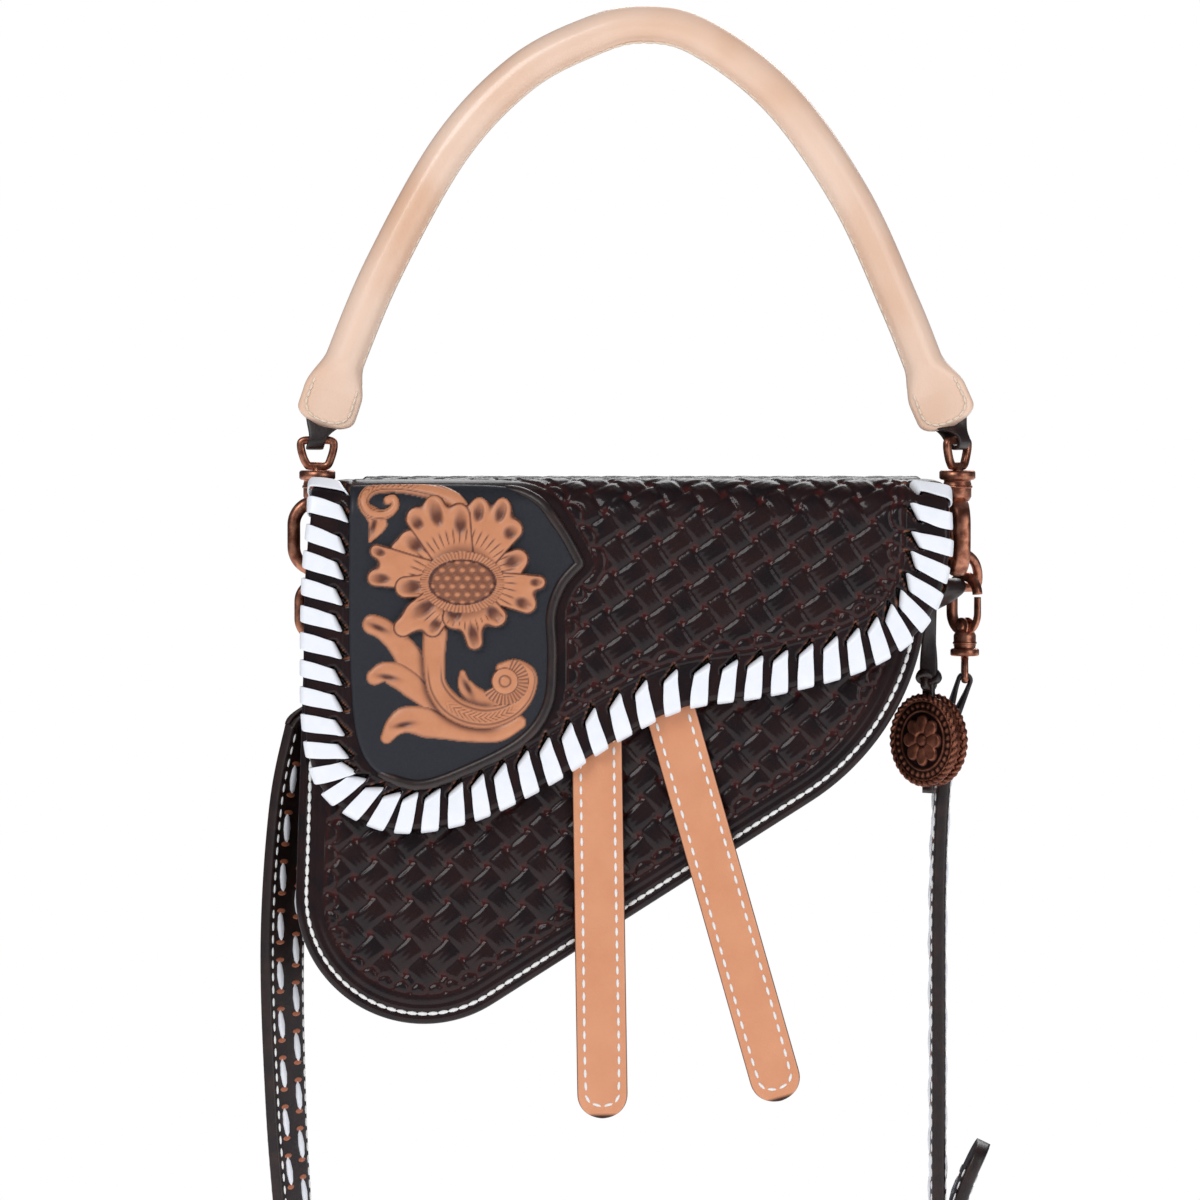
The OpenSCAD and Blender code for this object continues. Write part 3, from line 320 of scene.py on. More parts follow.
def put(title, shape, finish, body, nodes=(), marks=None, weld=False):
    """Makes the mesh of one piece from a shape in millimetres, welds points that fall together, and lets
    it ride on its body."""
    name = title.replace(" ", "_")
    mesh = bpy.data.meshes.new(name)
    mesh.from_pydata((shape[0] * MM).tolist(), [], shape[1])
    for key, values in (marks or {}).items():
        mesh.attributes.new(key, "FLOAT", "POINT").data.foreach_set("value", np.ravel(values))
    shell = bmesh.new()
    shell.from_mesh(mesh)
    if weld:
        bmesh.ops.remove_doubles(shell, verts=shell.verts, dist=0.003 * MM)
    bmesh.ops.recalc_face_normals(shell, faces=shell.faces)
    shell.to_mesh(mesh)
    shell.free()
    mesh.polygons.foreach_set("use_smooth", [True] * len(mesh.polygons))
    mesh.materials.append(finish.material)
    piece = bpy.data.objects.new(name, mesh)
    bpy.context.collection.objects.link(piece)
    if body:
        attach(piece, body)
    if nodes:
        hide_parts(*nodes)
    return piece


def round_end(far, reach, power, least):
    """How wide a strap still is at a distance from its end: sqrt(1 - (1 - far / reach)^power)."""
    return np.sqrt(np.clip(1 - np.clip(1 - far / reach, 0, 1) ** power, least, 1))


def every(way, count):
    """One direction, for each of count places."""
    return np.tile(np.asarray(way, float), (count, 1))


def stitches(places, along, out, length, width, height):
    """Rice-shaped stitches: at each place a spindle laid along the seam, its radius sqrt(1.02 - a^2) for
    a from -1 to 1."""
    a = np.sin(np.linspace(-0.5, 0.5, 5) * np.pi)
    radius = np.sqrt(1.02 - a ** 2)
    turn = np.arange(6) * np.pi / 3
    along = unit(along)
    across = np.cross(along, out)
    grid = (places[:, None, None] + a[None, :, None, None] * along[:, None, None] * length / 2
            + (radius[:, None] * np.cos(turn))[None, :, :, None] * across[:, None, None] * width / 2
            + (radius[:, None] * np.sin(turn))[None, :, :, None] * out[:, None, None] * height)
    return together([tube(g) for g in grid])


def sew(title, places, out, size, thread, body):
    """A row of stitches of a size (length, width, height) along a line of places."""
    put(title, stitches(places, np.gradient(places, axis=0), out, *size), thread, body)


natural = Finish("natural leather", "natural_leather", Coat_Weight=0.35, Coat_Roughness=0.12)
natural.set("Base Color", natural.mix(
    natural.mark("dark"), natural.tints((38, 2), (0.35, 0.7), (238, 205, 182), (226, 182, 152)),
    colour(92, 52, 36)))
natural.rough(0.26, 0.16, 1.1, 4.0)
natural.bump(natural.noise(0.5, 2.0) + natural.noise(3.5, 3.0), 0.06)

white_thread = Finish("white thread", "white_lace", 0.7)
white_thread.set("Base Color", colour(236, 235, 232))
tan_thread = Finish("natural thread", "natural_leather", 0.7)
tan_thread.set("Base Color", colour(232, 212, 190))

HANDLE_R = 6.2
SNAP_X = (-100.6, 97.7)
BAR_Z = -122.54
COLLAR_Z = -131.74
END_LEAN = (math.radians(19), math.radians(24))
LEG_LEN = 25
TAB_LOW = 4.6
TAB_HALF, TAB_DEPTH = 9.3, 3.6
TOE = 5
FLARE_FROM, FLARE_LEN = 15, 12
HANDLE_SPAN, HANDLE_RISE = 180.6, 105.1
# The arch between the two straight ends, as shares of its span and its rise
HANDLE_SHARES = (
    (0.07, 0.285), (0.184, 0.635), (0.304, 0.853), (0.424, 0.963), (0.513, 1), (0.613, 0.961),
    (0.75, 0.78), (0.87, 0.487), (0.955, 0.17))


def leg(side, d):
    """A point of the handle's straight end, d above the bar of the snap's eye, in X and Z."""
    inwards = (1, -1)[side]
    return np.array(
        [SNAP_X[side] + inwards * d * math.sin(END_LEAN[side]), BAR_Z + d * math.cos(END_LEAN[side])])


handle_foot = leg(0, LEG_LEN)
handle_line = curve(
    [leg(0, TAB_LOW), leg(0, LEG_LEN / 2), handle_foot]
    + [handle_foot + np.array([a * HANDLE_SPAN, b * HANDLE_RISE]) for a, b in HANDLE_SHARES]
    + [leg(1, LEG_LEN), leg(1, LEG_LEN / 2), leg(1, TAB_LOW)], 30)
handle_line = evenly(handle_line, 420)
handle_s = run(handle_line)
handle_far = np.minimum(handle_s, handle_s[-1] - handle_s) + TAB_LOW


def in_space(xz, y=0.0):
    """Points of the XZ plane, as points in space."""
    return coords(xz[..., 0], y, xz[..., 1])


def turned(path):
    """The tangents of a path in space."""
    return unit(np.gradient(path, axis=0))


centre = in_space(handle_line)
deep = every((0, 1, 0), len(centre))
inside = np.cross(deep, turned(centre))
opened = 1 - smooth((handle_far - FLARE_FROM) / FLARE_LEN)
tip = round_end(handle_far - TAB_LOW + 0.01 * TOE, 1.01 * TOE, 2.4, 0.004)
worn = bell(handle_s, 13, handle_s[-1] / 2)
half_wide = (HANDLE_R + (TAB_HALF - HANDLE_R) * opened) * tip * (1 - 0.05 * worn)
half_deep = (HANDLE_R + (TAB_DEPTH - HANDLE_R) * opened) * (0.55 + 0.45 * tip) * (1 + 0.02 * worn)
RING = 56
flattened = opened[:, None, None]
corners = oval(RING, 2.0) * (1 - flattened) + oval(RING, 4.5) * flattened
seam_angle = np.arange(RING) * 2 * np.pi / RING
off_seam = np.minimum(seam_angle, 2 * np.pi - seam_angle)
groove = 0.075 * bell(off_seam, 0.11) - 0.02 * bell(off_seam, 0.12, 0.24)
leaf_line = 0.16 * bell(off_seam, 0.08) * opened[:, None]
shrink = 1 - np.where(opened[:, None] > 0.5, leaf_line, groove)
profile = corners * coords(half_wide, half_deep)[:, None] * shrink[..., None]
toe_end = handle_far[:, None] < TAB_LOW + 1.2
handle_dark = np.maximum(0.8 * bell(off_seam, 0.07), 0.55 * toe_end)
put("rolled handle", tube(carry(centre, inside, deep, profile)), natural, "handle",
    ("handle_roll", "handle_core", "handle_end_left", "handle_end_right"), {"dark": handle_dark})

FACES = ((-1, "front"), (1, "back"))
SIDES = ((0, "left"), (1, "right"))
SEAM_STITCH = 4.3
SEAM_OFF = 0.42
seam_row = handle_far > LEG_LEN + 3
for face, where in FACES:
    row = evenly(np.hstack([centre, inside])[seam_row], int(handle_s[-1] / SEAM_STITCH))
    out = unit(row[:, 3:] * math.cos(SEAM_OFF) + np.array([0, face, 0]) * math.sin(SEAM_OFF))
    put(f"{where} seam of the handle",
        stitches(row[:, :3] + out * (HANDLE_R + 0.05), turned(row[:, :3]), out, 3.1, 0.9, 0.35),
        tan_thread, "handle")

HOOF = [(6.9, 17.5), (7.1, 12), (6.6, 9.2), (4, 7)]
hoof = evenly(curve([(-x, z) for x, z in HOOF] + [(0, 6.4)] + HOOF[::-1], 8), 15)
for side, label in SIDES:
    lean = np.array([(1, -1)[side] * math.sin(END_LEAN[side]), 0, math.cos(END_LEAN[side])])
    cross = np.array([lean[2], 0, -lean[0]])
    bar = np.array([SNAP_X[side], 0, BAR_Z])
    for face, where in FACES:
        row = bar + hoof[:, :1] * cross + hoof[:, 1:] * lean + np.array([0, face * (TAB_DEPTH + 0.02), 0])
        sew(f"{label} tab stitches at the {where}", row, every((0, face, 0), len(row)), (2.3, 0.9, 0.35),
            tan_thread, "handle")


# Dark strap in each tab
# A short oiled strap that loops through the eye of the swivel snap, with both its ends sewn in between the
# two leaves of the tab. The right-hand one is turned on its way down.
dark = Finish("dark strap leather", "dark_leather", Coat_Weight=0.25, Coat_Roughness=0.25)
dark.set("Base Color", dark.tints((6, 4), (0.35, 0.75), (34, 22, 21), (50, 32, 28)))
dark.rough(0.34, 0.22, 1.4, 3.0)
dark.bump(dark.noise(0.7, 3.0) + 0.5 * dark.noise(3.0, 3.0), 0.07)

EYE_TURN = (0, 50)
CHAPE_T = 1.3
CHAPE_LEN = 8.6


def folded(bar, bar_way, foot, foot_way, tail, radius, thick, half, count=16):
    """A band that folds over a bar and runs down to a foot in two leaves, turning and widening on its way:
    both leaves lie off the line from bar to foot, by radius at the bar and by half their thickness at the
    foot."""
    bar, foot = np.asarray(bar, float), np.asarray(foot, float)
    bar_way, foot_way = unit(np.asarray(bar_way, float)), unit(np.asarray(foot_way, float))
    length = np.linalg.norm(bar - foot)
    up = (bar - foot) / length
    q = np.concatenate([np.linspace(1 + tail / length, 1, 5)[:-1], np.linspace(1, 0, count)])
    m = smooth(q)[:, None]
    way = unit(bar_way * (1 - m) + foot_way * m)
    normal = unit(np.cross(way, up))
    leg_line = bar + (foot - bar) * q[:, None]
    off = radius * (1 - m) + thick[1] / 2 * m
    a = np.linspace(0, np.pi, 12)[1:-1, None]
    arc = bar + radius * (normal[-1] * np.cos(a) + up * np.sin(a))
    line = np.vstack([leg_line + normal * off, arc, (leg_line - normal * off)[::-1]])
    ways = np.vstack([way, np.tile(way[-1], (len(a), 1)), way[::-1]])
    m = np.concatenate([m[:, 0], 0 * a[:, 0], m[::-1, 0]])
    size = coords(half[0] + (half[1] - half[0]) * m, (thick[0] + (thick[1] - thick[0]) * m) / 2)
    return tube(carry(line, ways, unit(np.cross(turned(line), ways)), oval(22, 5)[None] * size[:, None]))


for side, label in SIDES:
    turn = math.radians(EYE_TURN[side])
    across = in_space(leg(side, 0) - leg(side, 1))[[2, 1, 0]] * (-1, 1, 1)
    put(f"{label} strap through the eye",
        folded(in_space(leg(side, 0)), (math.cos(turn), math.sin(turn), 0), in_space(leg(side, CHAPE_LEN)),
               across, 3, 2.5, (CHAPE_T, 1.5), (2.7, 6.4)),
        dark, "handle", (f"chape_{label}",))


# Swivel snaps
# Cast zinc trigger snaps with an antique copper plating, worn brighter in patches. The eye turns in the
# collar, and a sprung gate on a rivet closes the ring. The snaps of the crossbody strap are the same, but
# smaller.
copper = Finish("antique copper", "antique_copper", 0.34, Metallic=0.92)
copper.set("Base Color", copper.tints((3.2, 4), (0.34, 0.66), (128, 78, 62), (196, 134, 108)))
copper.rough(0.26, 0.2, 1.2, 3.0)
copper.bump(copper.noise(1.6, 3.0), 0.05)

SNAP_TURN = (0, 99)
HOOK_DEPTH = 5.4
RING_HALF = 9.3
BAND = 4.0
RING_TOP = -17.0
RING_LOW = -23.8
PIVOT_Z = -11.5


def lathe(rz, count=36):
    """A profile (radius, height) turned about Z."""
    a = np.arange(count) * 2 * np.pi / count
    r, z = np.asarray(rz, float).T
    return tube(coords(r[:, None] * np.cos(a), r[:, None] * np.sin(a), z[:, None]))


def lathe_y(rz, at, count=28):
    """The same about an axis along Y through a point."""
    points, faces = lathe(rz, count)
    return coords(points[:, 0] + at[0], points[:, 2] + at[1], points[:, 1] + at[2]), faces


def wire(path, r_wide, r_deep, power=2.0, count=16, closed=False, normal=(0, 1, 0)):
    """A wire along a path in a plane: an oval profile, r_wide in the plane and r_deep across it."""
    t = unit(np.roll(path, -1, 0) - np.roll(path, 1, 0)) if closed else turned(path)
    deep_way = every(normal, len(path))
    size = coords(np.broadcast_to(r_wide, len(path)), np.broadcast_to(r_deep, len(path)))
    return tube(
        carry(path, np.cross(t, deep_way), deep_way, oval(count, power)[None] * size[:, None]), closed)


def ring_line(start, end, straight=8, radius=RING_HALF - BAND / 2):
    """The middle line of the ring: top arc from start to 180 degrees, down, bottom arc from 180 to end."""
    a = np.radians(np.linspace(start, 180, 20))
    b = np.radians(np.linspace(180, end, 26))
    top = coords(radius * np.cos(a), 0, RING_TOP + radius * np.sin(a))
    low = coords(radius * np.cos(b), 0, RING_LOW + radius * np.sin(b))
    side = np.linspace(top[-1], low[0], straight + 2)[1:-1]
    return np.vstack([top, side, low])


def snap_eye():
    """The eye, a wire bent to a trapezium, on the stem that turns in the collar."""
    frame_line = curve([(-2.9, 1.3), (0, 1.2), (2.9, 1.3), (4.2, 3.6), (5.1, 7.2), (4.4, 9.0), (0, 9.25),
                        (-4.4, 9.0), (-5.1, 7.2), (-4.2, 3.6), (-2.9, 1.3)], 8)[:-1]
    loop = wire(in_space(frame_line), 1.25, 1.25, 2.6, 14, True)
    stem = lathe([(0.02, 1.6), (1.5, 1.4), (1.5, -4.5), (0.02, -4.6)], 18)
    return together([loop, stem])


def snap_hook(depth):
    """The hook: a ring, open where the gate closes it, the turned collar with its band, and the two ears
    of the gate."""
    line = ring_line(96, 357)
    k = np.linspace(0, 1, len(line))
    swell = smooth(k / 0.12) * (1 - 0.35 * smooth((k - 0.45) / 0.55))
    ring = wire(line, BAND / 2 * (0.8 + 0.2 * swell), depth / 2 * (0.62 + 0.38 * swell), 2.8, 20)
    collar = lathe([(0.5, -0.15), (5.1, -0.15), (5.6, -0.6), (5.6, -2.5), (5.1, -3.0), (4.3, -3.1),
                    (4.1, -3.5), (4.35, -4.3), (4.35, -8.2), (3.6, -9.6), (0.5, -10.2)])
    band = lathe([(4.2, -4.7), (4.6, -4.8), (4.7, -5.2), (4.6, -5.6), (4.2, -5.7)])
    ears = [lathe_y([(0.02, 0), (3.4, 0), (3.6, 0.2), (3.6, depth * 0.22), (3.2, depth * 0.25),
                     (0.02, depth * 0.25)], (0, y, PIVOT_Z)) for y in (-depth / 2, depth / 4)]
    return together([ring, collar, band] + ears)


def snap_gate(depth):
    """The gate: the quarter of the ring that swings in, with the boss round its rivet."""
    a = np.radians(np.linspace(88, 0, 16))
    radius = RING_HALF - BAND / 2
    top = coords(radius * np.cos(a), 0, RING_TOP + radius * np.sin(a))
    side = np.linspace(top[-1], (radius, 0, RING_LOW + 0.6), 8)[1:]
    line = np.vstack([top, side])
    k = np.linspace(0, 1, len(line))
    bar = wire(line, 1.65 - 0.2 * k, depth * 0.25 * (1 - 0.1 * k), 3.5, 14)
    boss = lathe_y(
        [(0.02, 0), (2.5, 0), (2.5, depth * 0.46), (0.02, depth * 0.46)], (0, -depth * 0.23, PIVOT_Z))
    return together([bar, boss])


def rivet_head(radius, height, steps=6):
    """The profile of a domed head: radius cos a, height sin a."""
    a = np.linspace(0, np.pi / 2, steps)
    return [(max(radius * math.cos(v), 0.02), height * math.sin(v)) for v in a]


def gate_rivet(depth):
    """A rivet through the ears, domed at both ends."""
    dome = rivet_head(1.8, 0.9)
    front = [(r, -depth / 2 - 0.1 - z) for r, z in dome]
    back = [(r, depth / 2 + 0.1 + z) for r, z in dome]
    return lathe_y(front[::-1] + back, (0, 0, PIVOT_Z))


def about_z(points, degrees):
    """Points turned about Z."""
    c, s = math.cos(math.radians(degrees)), math.sin(math.radians(degrees))
    return coords(points[:, 0] * c - points[:, 1] * s, points[:, 0] * s + points[:, 1] * c, points[:, 2])


def set_snap(shape, at, turn, scale=1.0, upside=1):
    """A snap's piece at its place: scaled, upright or hanging upside down, and turned about Z."""
    points = shape[0] * scale * np.array([1, upside, upside])
    return about_z(points, turn) + np.asarray(at, float), shape[1]


def snap(labels, at, turn, eye_turn, bodies, scale=1.0, upside=1, depth=HOOK_DEPTH):
    """The four pieces of one snap, named by labels."""
    makers = (snap_eye(), snap_hook(depth), snap_gate(depth), gate_rivet(depth))
    for label, shape, body, way in zip(labels, makers, bodies, (eye_turn, turn, turn, turn)):
        put(label, set_snap(shape, at, way, scale, upside), copper, body, (label,))


for side, label in SIDES:
    snap((f"snap_eye_{label}", f"snap_hook_{label}", f"snap_gate_{label}", f"gate_rivet_{label}"),
         (SNAP_X[side], 0, COLLAR_Z), SNAP_TURN[side], EYE_TURN[side],
         ("handle", f"hook_{label}", f"gate_{label}", f"hook_{label}"))


# Dees
# Copper-plated wire bent to a D. The left one stands in line with the bag's end, the right one is turned and
# leans out. The flat side runs through the folded tab.
DEE_R = 11.8
DEE_TURN = (0, -50)
DEE_LEAN = (0, 20)
DEE_FOOT = ((-100.6, 0, -170.24), (95.106, 3.092, -168.33))
DEE_WIRE_R = 1.5


def at_dee(points, side):
    """From the dee's own frame, Y along its flat side and Z up to its crown, to space."""
    a = math.radians(DEE_LEAN[side])
    leaned = coords(points[:, 0] * math.cos(a) + points[:, 2] * math.sin(a), points[:, 1],
                    points[:, 2] * math.cos(a) - points[:, 0] * math.sin(a))
    return about_z(leaned, DEE_TURN[side]) + np.array(DEE_FOOT[side])


for side, label in SIDES:
    a = np.radians(np.linspace(4, 176, 40))
    arc = coords(0, DEE_R * np.cos(a), DEE_R * np.sin(a))
    flat = coords(0, np.linspace(-DEE_R + 0.9, DEE_R - 0.9, 20), 0)
    bend = wire(np.vstack([arc, flat]), DEE_WIRE_R, DEE_WIRE_R, 2, 16, True, (1, 0, 0))
    put(f"{label} dee", (at_dee(bend[0], side), bend[1]), copper, "bag", (f"dee_{label}",))


# Body panels
# Two panels of thick dark leather cut to the saddle outline. The front is stamped with a basket weave inside
# a border of half-round stamps, and both are saddle-stitched in white along a burnished edge.
BODY_LEFT, BODY_RIGHT = 106.8, 92
TOP_Z, LOW_Z = -141, -302.3
LOBE_R, SEAT_R, CORNER_R = 39.5, 77.5, 12
SEAT_X, SEAT_DOWN, LEFT_TAPER = 10.2, 27.3, 3.8
FRONT_Y, BACK_Y = -19.6, 24.4
PANEL_T = 2.4
PANEL_EDGE = 1.8
BACK_TOP_Z = -146.2


def outline(inset, lean=(0, 0), steps=40):
    """Four arcs joined by their common tangents: lobe, slow curve, right and left top corners."""
    c = np.array([(LOBE_R - BODY_LEFT, LOW_Z + LOBE_R), (SEAT_X, TOP_Z - SEAT_DOWN),
                  (BODY_RIGHT - CORNER_R - lean[1], TOP_Z - CORNER_R),
                  (LEFT_TAPER + CORNER_R + lean[0] - BODY_LEFT, TOP_Z - CORNER_R)])
    r = (LOBE_R, SEAT_R, CORNER_R, CORNER_R)
    angles = []
    for i in range(4):
        d = c[(i + 1) % 4] - c[i]
        angles.append(math.atan2(d[1], d[0]) - math.acos((r[i] - r[(i + 1) % 4]) / np.linalg.norm(d)))
    arcs = []
    for i in range(4):
        start = angles[i - 1]
        a = start + np.linspace(0, (angles[i] - start) % (2 * math.pi), steps)
        arcs.append(c[i] + (r[i] - inset) * coords(np.cos(a), np.sin(a)))
    loop = np.vstack(arcs + [arcs[0][:1]])
    return evenly(loop, 420)


def span(loop, rows):
    """The left and right ends of a loop at each row."""
    (x0, z0), (x1, z1) = loop[:-1].T, loop[1:].T
    t = (rows[:, None] - z0) / np.where(z1 == z0, 1e-9, z1 - z0)
    x = np.where((t >= 0) & (t <= 1), x0 + (x1 - x0) * t, np.nan)
    return np.nanmin(x, axis=1), np.nanmax(x, axis=1)


def from_edge(points, line):
    """The distance of each point from a line, and how far along the line its nearest place is."""
    a, b = line[:-1], line[1:]
    d = b - a
    s = run(line)
    flat = points.reshape(-1, 2)
    far, at = np.empty(len(flat)), np.empty(len(flat))
    for i in range(0, len(flat), 6000):
        p = flat[i:i + 6000, None]
        t = np.clip(((p - a) * d).sum(-1) / (d ** 2).sum(-1), 0, 1)
        gap = np.linalg.norm(p - a - t[..., None] * d, axis=-1)
        k = gap.argmin(1)
        far[i:i + 6000] = gap[np.arange(len(k)), k]
        at[i:i + 6000] = s[k] + t[np.arange(len(k)), k] * np.linalg.norm(d, axis=1)[k]
    return far.reshape(points.shape[:-1]), at.reshape(points.shape[:-1])


def basket(x, z, cell=8.2, slant=42.0):
    """Basket weave from 0 to 1: two sets of strands a cell apart rise and dip as cos(pi a), each in turn
    over and under the other; a strand is 0.8 of a cell wide, so a square recess stays open between four of
    them."""
    c, s = math.cos(math.radians(slant)) / cell, math.sin(math.radians(slant)) / cell
    a, b = x * c + z * s, z * c - x * s
    p, q = a % 1 - 0.5, b % 1 - 0.5
    first = np.cos(np.pi * (a - 0.5)) * (1 - 2 * (np.floor(b) % 2))
    second = -np.cos(np.pi * (b - 0.5)) * (1 - 2 * (np.floor(a) % 2))
    top = np.full(x.shape, -1.0)
    for height, across in ((first, q), (second, p)):
        ridges = 0.74 + 0.26 * np.abs(np.cos(across * np.pi * 5)) - 0.6 * across ** 2
        wave = np.where(height > 0, np.abs(height) ** 0.6 * ridges, height)
        top = np.maximum(top, -1 + (wave + 1) * smooth((0.4 - np.abs(across)) / 0.07))
    return (top + 1) / 2


def border(far, at, middle, pitch=7.2):
    """A row of half-round stamps a pitch apart: their cut arcs, and fans of fine rays that fill them."""
    u = ((at / pitch) % 1 - 0.5) * pitch
    r = np.hypot(u, far - middle)
    on = smooth((far - middle + 0.3) / 0.5)
    arc = bell(r, 0.4, pitch * 0.47) * on + bell(far, 0.35, middle)
    rays = 0.5 + 0.5 * np.cos(13 * np.arctan2(u, far - middle + 0.01))
    return np.clip(arc, 0, 1), smooth((pitch * 0.44 - r) / 0.4) * on * (0.45 + 0.55 * rays)


def round_edge(far, half, reach):
    """How much a face drops towards its edge: half (1 - sqrt(1 - (1 - far / reach)^2))."""
    k = np.clip(1 - far / reach, 0, 1)
    return half * (1 - np.sqrt(1 - k ** 2))


def spread(count, ease=0.035):
    """Shares from 0 to 1, closer together near both ends."""
    k = np.linspace(0, 1, count)
    return (1 - ease) * k + ease * (0.5 - 0.5 * np.cos(np.pi * k))


def columns(loop, rows, step, reach=2.4, count=8):
    """For every row between the two ends of a loop: a few columns that follow each end closely, and
    between them the columns of one fixed grid, held back where the row ends. Those that fall together are
    welded later."""
    left, right = (end[:, None] for end in span(loop, rows))
    ease = reach * np.linspace(0, 1, count) ** 1.6
    scale = np.minimum(1, (right - left) / (2.2 * reach))
    grid = np.arange(loop[:, 0].min(), loop[:, 0].max(), step)
    middle = np.clip(grid[None], left + reach * scale, right - reach * scale)
    return np.hstack([left + ease * scale, middle, right - ease[::-1] * scale])


def rows_between(low, high, step):
    """Rows from low to high, bunched near low where the outline turns."""
    fine = low + 3 * np.linspace(0.02, 1, 12) ** 2
    return np.concatenate([fine, np.arange(low + 3 + step, high, step), [high]])


def cut_sheet(loop, rows, step, *reach):
    """The grid of a sheet cut to a loop, and each point's distance from the edge and place along it."""
    x = columns(loop, rows, step, *reach)
    z = np.repeat(rows[:, None], x.shape[1], 1)
    return x, z, *from_edge(coords(x, z), loop)


def sheet_shell(face, back):
    """A closed sheet: each row runs over the face and returns over the back."""
    return tube(np.concatenate([face, back[:, ::-1]], axis=1))


def leather(outer, inner, few, **fields):
    """A thick sheet whose inner face keeps only a few of the columns, and its marks, nought on that face."""
    keep = np.unique(np.round(np.linspace(0, outer.shape[1] - 1, few)).astype(int))[1:-1]
    return (sheet_shell(outer, inner[:, keep]),
            {key: np.concatenate([field, 0 * field[:, keep]], 1) for key, field in fields.items()})


tooled = Finish(
    "tooled leather", "tooled_leather", Coat_Weight=0.4, Coat_Roughness=0.13, Specular_IOR_Level=0.15)
tooled_tint = tooled.tints((9, 4), (0.35, 0.7), (40, 22, 22), (26, 17, 20))
# The slits of the lacing holes get a near-black tint: a painted shadow inside the holes, which are only
# shallow dents in the leather here.
for mark, tint in (("deep", (64, 22, 20)), ("raw", (190, 118, 84)), ("hole", (8, 6, 6))):
    tooled_tint = tooled.mix(tooled.mark(mark), tooled_tint, colour(*tint))
tooled.set("Base Color", tooled_tint)
tooled.rough(0.4, 0.25, 1.3, 4.0)
tooled.bump(tooled.noise(0.8, 4.0), 0.1)

body_loop = outline(0)
STITCH_INSET, CREASE_INSET, BORDER_INSET, WEAVE_INSET = 3.3, 6, 9.2, 10.4
EDGE_REACH = 1.9
BODY_STEP = 0.6
WEAVE_RISE, GROUND_DOWN = 1.15, 0.75
for (face, label), top_z in zip(FACES, (TOP_Z, BACK_TOP_Z)):
    rows = np.concatenate([rows_between(LOW_Z + 0.02, -176, BODY_STEP), np.arange(-172, top_z - 2.5, 4),
                           top_z - 2.4 * np.linspace(1, 0.01, 7) ** 1.6])
    x, z, far, at = cut_sheet(body_loop, rows, BODY_STEP)
    arc, seed = border(far, at, BORDER_INSET)
    inner_part = smooth((far - WEAVE_INSET) / 0.8) * (1 - np.maximum(arc, smooth(seed * 9)))
    weave = basket(x, z) * inner_part
    relief = -0.45 * bell(far, 0.9, STITCH_INSET) - 0.3 * bell(far, 0.4, CREASE_INSET)
    if face < 0:
        relief += (WEAVE_RISE * weave - 0.6 * arc - 0.1 * smooth(seed * 9) + 0.35 * seed
                   - GROUND_DOWN * inner_part)
    puff = 2.4 * smooth(far / 37) if face > 0 else 1.2 * smooth(far / 40) * smooth((-225 - z) / 30)
    outer = FRONT_Y if face < 0 else BACK_Y
    y = outer + face * (relief + puff - round_edge(far, PANEL_EDGE, EDGE_REACH))
    y_in = outer - face * (PANEL_T - round_edge(far, PANEL_T - PANEL_EDGE, EDGE_REACH))
    deep = np.clip(smooth((0.42 - weave) / 0.3) * inner_part + 0.7 * arc, 0, 1) * (face < 0)
    shell, marks = leather(coords(x, y, z), coords(x, y_in, z), 24, deep=deep)
    put(f"{label} body panel", shell, tooled, "bag", (f"{label}_panel",), marks, True)
    seam = outline(STITCH_INSET)
    seam = seam[seam[:, 1] < (-160 if face < 0 else -150)]
    start = np.argmax(np.linalg.norm(np.diff(seam, axis=0), axis=1)) + 1
    seam = evenly(np.vstack([seam[start:], seam[:start]]), 118)
    seam_puff = 3.0 * smooth(STITCH_INSET / 60) * (face > 0)
    row = in_space(seam, outer + face * (seam_puff - 0.25))
    sew(f"{label} saddle stitches", row, every((0, face, 0), len(row)), (3.3, 1.25, 0.5), white_thread, "bag")


# Gusset and lining
# One long strip of softer leather sewn in between the two panels, sagging a little inwards at its middle,
# with a suede lining glued inside. The bag is open at the top behind the flap.
soft = Finish("gusset leather", "dark_leather", Coat_Weight=0.12, Coat_Roughness=0.4)
soft.set("Base Color", soft.tints((5, 4), (0.35, 0.7), (30, 20, 20), (42, 29, 27)))
soft.rough(0.45, 0.2, 1.2, 3.0)
soft.bump(soft.noise(1.0, 4.0), 0.12)
suede = Finish("suede lining", "suede", 0.9)
suede.set("Base Color", suede.mix(suede.noise(0.9, 5.0), colour(106, 78, 62), colour(138, 104, 84)))
suede.bump(suede.noise(0.35, 4.0), 0.15)

WALL_INSET = 5
WALL_LEAN = (9, 3)
GUSSET_TOP = -174
GUSSET_T = 1.6
LINING_T = 0.9
INSIDE_FRONT, INSIDE_BACK = FRONT_Y + PANEL_T, BACK_Y - PANEL_T


WALL_POINTS = 260
SAG = 2


def wall(inset):
    """The part of the wall's outline below its top, from its left end round the bottom to its right end."""
    loop = outline(WALL_INSET + inset, WALL_LEAN)[:-1]
    low = loop[:, 1] < GUSSET_TOP
    start = np.argmax(low & ~np.roll(low, 1))
    loop = np.roll(loop, -start, axis=0)
    return evenly(loop[:np.count_nonzero(low)], WALL_POINTS)


